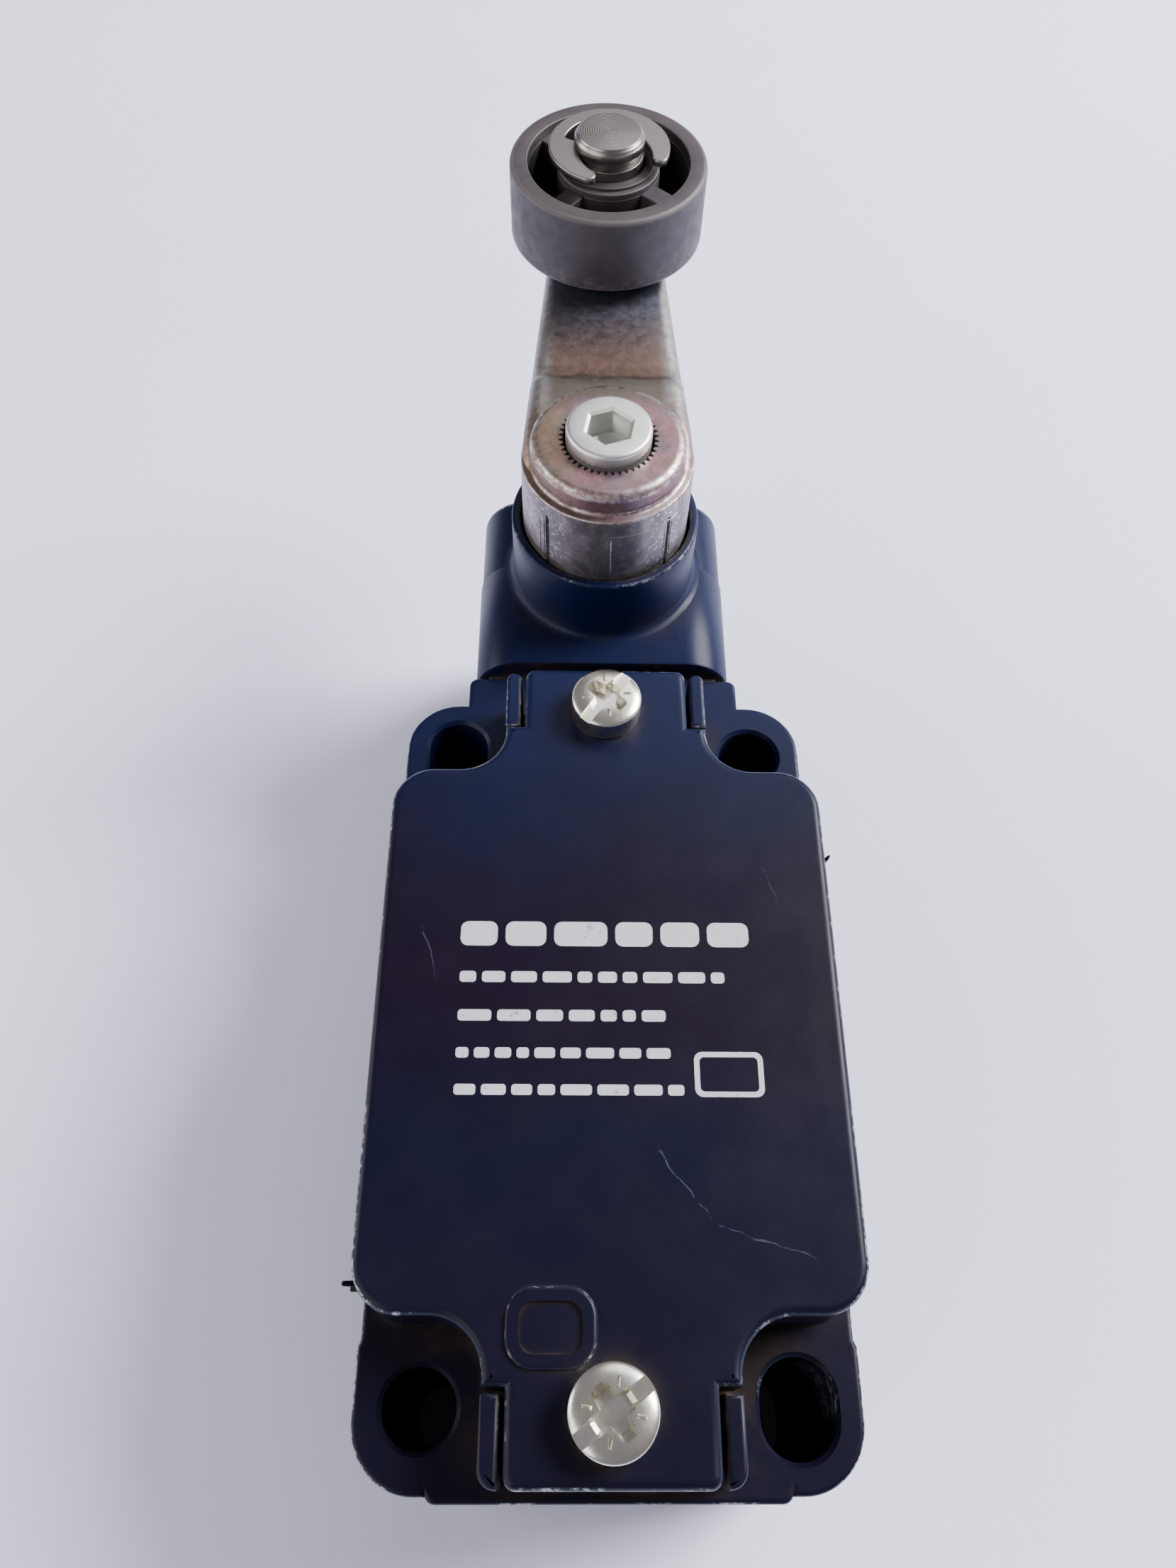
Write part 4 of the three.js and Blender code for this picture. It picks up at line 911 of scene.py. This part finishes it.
def make_head_screws(finish):
    places = [(sx, sz) for sz in (-1, 1) for sx in (-1, 1)]
    for number, (sx, sz) in enumerate(places, 1):
        screw = turned(turned(slotted_screw(2.8, 2.2, 1.6, 29.2), 37 * number), -90, "X")
        shifted(screw, sx * HEAD_SCREW, 60.6, AXIS_Z + sz * HEAD_SCREW)
        node = f"head_screw_{number}"
        piece(screw, f"{node}_slotted", BODY, finish, [node], sharp=25)


# ---- lever


TEETH = 44
SLIT_BEARINGS, SLIT_DEPTH, SLIT_HALF = (-133.5, -45.5), 0.32, 0.9
HUB_RADIUS = 8.65
ARM_LENGTH = 31.5


def hub_warp(angle, radius, z):
    """Serrations round the top of the bore, and two narrow slits down the front of the hub."""
    if radius < 5.02:
        tooth = 0.5 + 0.5 * math.cos(angle * TEETH)
        return radius - 0.5 * tooth ** 0.7
    if radius > 8.5 and 40.0 < z < 47.2:
        for bearing in SLIT_BEARINGS:
            if abs((math.degrees(angle) - bearing + 180) % 360 - 180) < SLIT_HALF:
                return radius - SLIT_DEPTH
    return radius


def casting_line(start, end, width, height, seed):
    """A thin uneven ridge on the hub between two places given as (bearing, z)."""
    rng = random.Random(seed)
    (a0, z0), (a1, z1) = start, end
    along = Vector((math.radians(a1 - a0) * HUB_RADIUS, z1 - z0))
    side = Vector((-along.y, along.x)).normalized() * width / 2
    steps, sunk = 28, -0.03
    columns = []
    for i in range(steps + 1):
        share = i / steps
        swell = min(1.0, 8 * share, 8 * (1 - share)) * rng.uniform(0.45, 1.25)
        drift = rng.uniform(-0.12, 0.12)
        column = []
        for across, lift, wear in ((-1, sunk, 0.6), (0, height * swell, 1.0), (1, sunk, 0.6)):
            shift = side * (across * swell + drift)
            angle = math.radians(a0 + (a1 - a0) * share) + shift.x / HUB_RADIUS
            radius = HUB_RADIUS + lift
            x, y = radius * math.cos(angle), SHAFT_Y + radius * math.sin(angle)
            column.append((x, y, z0 + (z1 - z0) * share + shift.y, wear))
        columns.append(column)
    return sheet("line", columns, around=False)


def make_hub():
    bore = [(5.3, 48.9), (4.98, 49.1), (4.98, 51.54), (5.0, 51.6), (5.06, 51.6), (5.2, 51.6)]
    ring = [(7.75, 51.6, 0.95), (7.75, 49.15, 0.42), (HUB_RADIUS, 49.0, 0.2)]
    wall = [(HUB_RADIUS, z) for z in (48.5, 47.3, 47.0, 43.0, 40.2, 39.9)]
    foot = [(HUB_RADIUS, 35.9, 0.25), (7.2, 35.9), (7.2, 38.05), (5.3, 38.05)]
    profile = rounded_profile(bore + ring + wall + foot, 6)
    hub = revolved("hub", profile, 352, (0, SHAFT_Y), closed=True, warp=hub_warp)
    lines = [
        casting_line((-92, 47.0), (-35, 46.9), 0.16, 0.05, 1),
        casting_line((-88, 46.8), (-87, 40.6), 0.20, 0.05, 2),
        casting_line((-136.3, 47.2), (-136.3, 40.6), 0.20, 0.06, 3),
        casting_line((-140.5, 46.4), (-140.5, 40.6), 0.22, 0.05, 4),
        casting_line((-42.8, 47.2), (-42.8, 41.0), 0.24, 0.07, 5),
        casting_line((-40.3, 47.4), (-39.8, 42.3), 0.34, 0.06, 6),
        casting_line((-48.4, 46.4), (-48.4, 41.4), 0.16, 0.05, 7),
    ]
    return joined([hub] + lines)


def make_arm():
    """The arm as a grid of stations along it, its edges rounded by their distance from its outline."""
    bottom, edge, tip = 45.0, 1.5, 6.3
    stations = [-3.0, -2.0, -1.0, 0.0, 1.5, 3.0, 4.5, 6.0, 8.0, 9.2, 9.6, 10.0, 10.4]
    stations += [12.0, 16.0, 20.0, 24.0, 28.0, ARM_LENGTH]
    stations += [ARM_LENGTH + tip * math.sin(math.radians(a)) for a in range(10, 90, 10)]
    stations += [ARM_LENGTH + tip * 0.9975, ARM_LENGTH + tip]
    half = [0.25, 0.55, 0.8, 0.85, 0.89, 0.93, 0.96, 0.985, 1]
    fractions = [-f for f in reversed(half)] + [0] + half

    def half_width(v):
        if v < 0:
            return math.sqrt(HUB_RADIUS ** 2 - v * v)
        if v <= ARM_LENGTH:
            return HUB_RADIUS + (tip - HUB_RADIUS) * v / ARM_LENGTH
        return math.sqrt(max(0.0, tip * tip - (v - ARM_LENGTH) ** 2))

    def height(v):
        return 49.3 + 1.3 * smooth((v + 3.0) / 6.0) - 0.5 * smooth((v - 9.2) / 1.2)

    def drop(x, v):
        depth = half_width(v) - abs(x) if v <= ARM_LENGTH else tip - math.hypot(x, v - ARM_LENGTH)
        inside = max(0.0, min(edge, depth))
        return edge - math.sqrt(edge * edge - (edge - inside) ** 2)

    bm = bmesh.new()
    wear_and_sheen_layer = bm.verts.layers.float.new("wear")
    tops, bottoms = [], []
    for v in stations:
        top_row, bottom_row = [], []
        for fraction in fractions:
            x = fraction * half_width(v)
            fall = drop(x, v)
            top = bm.verts.new((x, SHAFT_Y + v, height(v) - fall))
            top[wear_and_sheen_layer] = 0.3 if 0.02 < fall < 0.6 else 0.0
            top_row.append(top)
            bottom_row.append(bm.verts.new((x, SHAFT_Y + v, bottom + fall * 0.6)))
        tops.append(top_row)
        bottoms.append(bottom_row)
    for top, next_top, low, next_low in zip(tops, tops[1:], bottoms, bottoms[1:]):
        for b in range(len(fractions) - 1):
            bm.faces.new((top[b], top[b + 1], next_top[b + 1], next_top[b]))
            bm.faces.new((low[b + 1], low[b], next_low[b], next_low[b + 1]))
        bm.faces.new((low[0], top[0], next_top[0], next_low[0]))
        bm.faces.new((top[-1], low[-1], next_low[-1], next_top[-1]))
    bm.faces.new([*reversed(tops[0]), *bottoms[0]])
    bore = revolved("bore", [(0, 40), (7.0, 40), (7.0, 55), (0, 55)], 72, (0, SHAFT_Y))
    return cut(new_object("arm", bm), [bore])


def make_lever(zinc):
    profile = rounded_profile([(3.75, 49.5), (5.9, 49.5), (5.6, 51.3, 0.25), (3.75, 51.3), (3.75, 51.2)])
    boss = revolved("boss", profile, 72, (0, ROLLER_Y))
    lever = joined([make_hub(), make_arm(), boss])
    piece(lever, "lever_casting", LEVER, zinc, ["lever"])


def make_clamp_screw(finish):
    profile = [(0, -14), (2.4, -14), (2.4, 0), (4.25, 0, 0.1), (4.25, 5.0, 0.42), (0, 5.0)]
    screw = revolved("screw", rounded_profile(profile, 4), 96)
    hexagon, mouth = arc(0, 0, 2.31, 0, 300, 5), arc(0, 0, 3.234, 0, 300, 5)
    socket = lofted("socket", (2.2, hexagon), (4.75, hexagon), (5.4, mouth))
    drill = revolved("drill", [(0, 1.2), (1.95, 2.25), (1.95, 3.0), (0, 3.0)], 48)
    cut(screw, [socket, drill])
    shifted(turned(screw, 20), 0, SHAFT_Y, 48.2)
    piece(screw, "lever_clamp_screw_socket", LEVER, finish, ["lever_clamp_screw"], sharp=28)


# ---- roller


def make_roller(moulding):
    """Rim, hub and a web with four blind windows."""
    inner = [(8.5, 55.0), (8.5, 52.9), (8.75, 51.6, 0.1), (10.42, 51.6, 0.5), (10.42, 59.8, 0.5)]
    profile = rounded_profile(inner + [(8.55, 59.8, 0.12), (8.5, 58.0), (8.5, 55.0)], 4)
    rim = revolved("rim", profile, 144, (0, ROLLER_Y), closed=True)
    outer = [(3.86, 51.6), (5.35, 51.6, 0.15), (5.35, 59.4, 0.15), (4.8, 59.45), (4.8, 59.75, 0.1)]
    profile = rounded_profile(outer + [(3.86, 59.75), (3.86, 51.6)], 3)
    hub = revolved("hub", profile, 96, (0, ROLLER_Y), closed=True)
    web = prism("web", arc(0, 0, 8.7, 0, 357, 119), 53.2, 58.8)
    windows = []
    for k in range(4):
        start, end = 90 * k - 45 + 4.7, 90 * k + 45 + 4.7
        outline = arc(0, 0, 8.45, start + 7.3, end - 7.3, 16) + arc(0, 0, 5.4, end - 11.4, start + 11.4, 12)
        windows.append(stacked("window", outline, [(53.6, 0, 0), (58.7, 0, 0), (59.0, -0.2, 0)]))
    bore = revolved("bore", [(0, 50), (4.8, 50), (4.8, 60), (0, 60)], 48)
    cut(web, [bore, joined(windows)])
    roller = joined([rim, hub, shifted(web, 0, ROLLER_Y, 0)])
    piece(roller, "roller_moulding", ROLLER, moulding, ["roller"])


def make_pin(finish):
    foot = [(0, 43.9), (4.8, 43.9, 0.4), (4.8, 44.9, 0.1), (3.65, 44.9), (3.65, 60.7, 0.1)]
    groove = [(3.1, 60.7), (3.1, 61.6)]
    top = [(3.65, 61.6, 0.06), (3.65, 62.35, 0.06), (3.2, 62.9, 0.1), (0, 62.9)]
    pin = revolved("pin", rounded_profile(foot + groove + top), 96, (0, ROLLER_Y))
    piece(pin, "roller_pin_turned", LEVER, finish, ["roller_pin"], sharp=30)


def make_clip(finish):
    """An E-clip: three prongs hold the pin, with notches between them and rounded tips."""
    mouth, half = 293.0, 38.5
    outer, prong, side, notch = 6.3, 3.1, 3.45, 4.75

    def inner_radius(bearing):
        off = abs((bearing - mouth) % 360 - 180)
        if off > 84:
            return side + 1.35 * ((off - 84) / 52) ** 1.4
        bands = ((0, prong), (8, prong), (15, notch), (52, notch), (61, side - 0.1), (84, side))
        for (a0, r0), (a1, r1) in zip(bands, bands[1:]):
            if off <= a1:
                return r0 + (r1 - r0) * smooth((off - a0) / (a1 - a0))

    tip_inner = side + 1.3
    middle, width = (outer + tip_inner) / 2, (outer - tip_inner) / 2
    sweep = math.degrees(width / middle)
    start, end = mouth + half + sweep, mouth + 360 - half - sweep

    def rounded_tip(bearing, direction):
        x, y = middle * math.cos(math.radians(bearing)), middle * math.sin(math.radians(bearing))
        return arc(x, y, width, bearing, bearing + 180 * direction, 10)[1:-1]

    outline = arc(0, 0, outer, start, end, 96) + rounded_tip(end, 1)
    steps = 150
    for i in range(steps + 1):
        bearing = end + (start - end) * i / steps
        outline += arc(0, 0, inner_radius(bearing), bearing, bearing, 1)[:1]
    outline += rounded_tip(start, -1)[::-1]
    layers = rounded_end(60.8, 0.08, 2, 0.02, up=False)[::-1] + rounded_end(61.5, 0.14, 3, 0.02)
    clip = shifted(stacked("clip", outline, layers), 0, ROLLER_Y, 0)
    piece(clip, "roller_clip_stamped", LEVER, finish, ["roller_clip"])


# ---- springs, and CAD pieces that stay


def make_spring(node, radius, wire, turns, finish):
    """A coil spring along Y with closed ends."""
    lowest, highest = (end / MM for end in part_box(node))
    length = highest.y - lowest.y
    closed, steps = 2.02 * wire, 20

    def height(turn):
        first, last = wire + closed, length - wire - closed
        if turn <= 1:
            return wire + closed * turn
        if turn >= turns - 1:
            return length - wire - closed * (turns - turn)
        return first + (last - first) * (turn - 1) / (turns - 2)

    stations = []
    for i in range(turns * steps + 1):
        turn = i / steps
        angle = turn * 2 * math.pi
        out = Vector((math.cos(angle), 0, math.sin(angle)))
        middle = out * radius + Vector((0, lowest.y + height(turn), AXIS_Z))
        stations.append((middle, out * wire, Vector((0, wire, 0))))
    spring = piece(swept(node, stations), node + "_coil", BODY, finish, (node,))
    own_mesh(spring)


def finish_inner_nodes(frame):
    """Materials for the CAD nodes that stay as they are, mostly inside the switch."""
    slots = {
        "black_rubber": plastic("rubber_black", (0.012, 0.010, 0.009), (0.022, 0.019, 0.016), 0.8),
        "plated_steel": steel("steel_plated_inner", (0.56, 0.54, 0.47), 0.34),
        "bright_steel": steel("steel_bright_inner", (0.50, 0.47, 0.44), 0.28),
        "spring_steel": steel("steel_spring", (0.35, 0.36, 0.38), 0.32),
        "black_plastic": plastic("plastic_black", (0.012, 0.012, 0.014), (0.020, 0.020, 0.022), 0.5),
        "pale_plastic": plastic("plastic_pale", (0.56, 0.51, 0.40), (0.64, 0.59, 0.47), 0.45),
        "brass": steel("brass_contact", (0.62, 0.45, 0.18), 0.32, (0.30, 0.19, 0.08)),
        "bronze": steel("bronze_bush", (0.42, 0.26, 0.11), 0.42, (0.22, 0.13, 0.06)),
    }
    for row in frame["record"]["subparts"]:
        node = frame["nodes"][row["node"]]
        material = slots.get(row["material_slot"])
        if material is not None and not node.hide_render:
            node.data.materials.clear()
            node.data.materials.append(material)


# ---- studio


def make_floor():
    steps, half = 8, 1.5
    marks = [half * (2 * i / steps - 1) for i in range(steps + 1)]
    bm = bmesh.new()
    grid = [[bm.verts.new((x, y, -0.0002)) for y in marks] for x in marks]
    for here, there in zip(grid, grid[1:]):
        for j in range(steps):
            bm.faces.new((here[j], there[j], there[j + 1], here[j + 1]))
    floor = plain_object("floor", bm)
    floor.data.materials.append(paper("paper_floor"))


def make_light(name, place, target, size, power, color):
    light = bpy.data.lights.new(name, "AREA")
    light.shape = "DISK"
    light.size = size
    light.energy = power
    light.color = color
    obj = bpy.data.objects.new(name, light)
    obj.location = place
    obj.rotation_euler = (Vector(target) - Vector(place)).to_track_quat("-Z", "Y").to_euler()
    link(obj)


def make_studio():
    world = bpy.data.worlds.new("studio")
    bpy.context.scene.world = world
    world.use_nodes = True
    background = world.node_tree.nodes["Background"]
    background.inputs["Color"].default_value = (0.95, 0.93, 1.0, 1.0)
    background.inputs["Strength"].default_value = 0.26
    make_light("key", (0.72, 0.36, 0.66), (0, 0.04, 0.0), 0.6, 33.0, (0.97, 0.985, 1.0))
    make_light("sky", (0.25, 0.95, 1.0), (0, 0.05, 0.0), 0.8, 4.0, (0.98, 0.99, 1.0))
    make_light("fill", (-0.65, -0.45, 0.50), (0, 0.0, 0.0), 0.8, 5.0, (1.0, 0.98, 0.98))
    make_light("left", (-0.90, 0.15, 0.35), (0, 0.04, 0.0), 0.5, 4.0, (1.0, 0.96, 0.95))
    make_floor()


def make_camera():
    """At the photograph's viewing angle: high in front, close, and tilted a little."""
    tilt, yaw, roll = (math.radians(a) for a in (29.352, -2.187, 2.461))
    spin = Matrix.Rotation(yaw, 3, "Z")
    right = spin @ Vector((1, 0, 0))
    up = spin @ Vector((0, math.cos(tilt), math.sin(tilt)))
    back = right.cross(up)
    rolled_right = right * math.cos(roll) + up * math.sin(roll)
    rolled_up = up * math.cos(roll) - right * math.sin(roll)
    data = bpy.data.cameras.new("camera")
    data.lens = 27.3
    data.sensor_width = 36.0
    data.clip_start = 0.005
    data.clip_end = 20.0
    camera = bpy.data.objects.new("camera", data)
    basis = Matrix((rolled_right, rolled_up, back)).transposed().to_4x4()
    camera.matrix_world = Matrix.Translation(Vector((-3.875, -32.97, 136.133)) * MM) @ basis
    bpy.context.scene.camera = link(camera)


# ---- the whole


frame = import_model()

body_paint = navy_paint("paint_body")
cover_paint = navy_paint(
    "paint_cover",
    scratches=(
        ((3.9, -11.6), (8.3, -17.4), 0.07, 0.50),
        ((8.3, -17.4), (16.4, -19.9), 0.06, 0.40),
        ((-16.5, 8.0), (-14.8, 2.4), 0.06, 0.35),
        ((13.8, 14.0), (15.6, 9.5), 0.06, 0.30),
    ),
)
screw_steel = steel("steel_plated", (0.70, 0.68, 0.62), 0.24, (0.56, 0.46, 0.30), 0.45)
socket_steel = steel("steel_socket", (0.66, 0.66, 0.64), 0.40, (0.52, 0.52, 0.45), 0.45)
pin_steel = steel("steel_turned", (0.245, 0.222, 0.212), 0.30, (0.20, 0.165, 0.145), 0.35, (0, ROLLER_Y))
clip_steel = steel("steel_stamped", (0.255, 0.238, 0.228), 0.30, (0.22, 0.19, 0.17), 0.30)

make_housing(body_paint)
make_cover(cover_paint)
make_gasket_tongues(plastic("rubber_tongues", (0.016, 0.011, 0.014), (0.026, 0.019, 0.022), 0.7))
make_raised_mark(cover_paint)
make_printing(print_ink("ink_pale"))
make_cover_screws(screw_steel)
make_head(body_paint)
make_head_screws(screw_steel)
make_lever(zinc_chromate("zinc_lever"))
make_clamp_screw(socket_steel)
make_roller(roller_plastic("plastic_roller"))
make_pin(pin_steel)
make_clip(clip_steel)
spring_steel = steel("steel_coil", (0.35, 0.36, 0.38), 0.32)
make_spring("head_spring", 4.6, 0.45, 5, spring_steel)
make_spring("return_spring", 1.9, 0.3, 5, spring_steel)
finish_inner_nodes(frame)
make_studio()
make_camera()
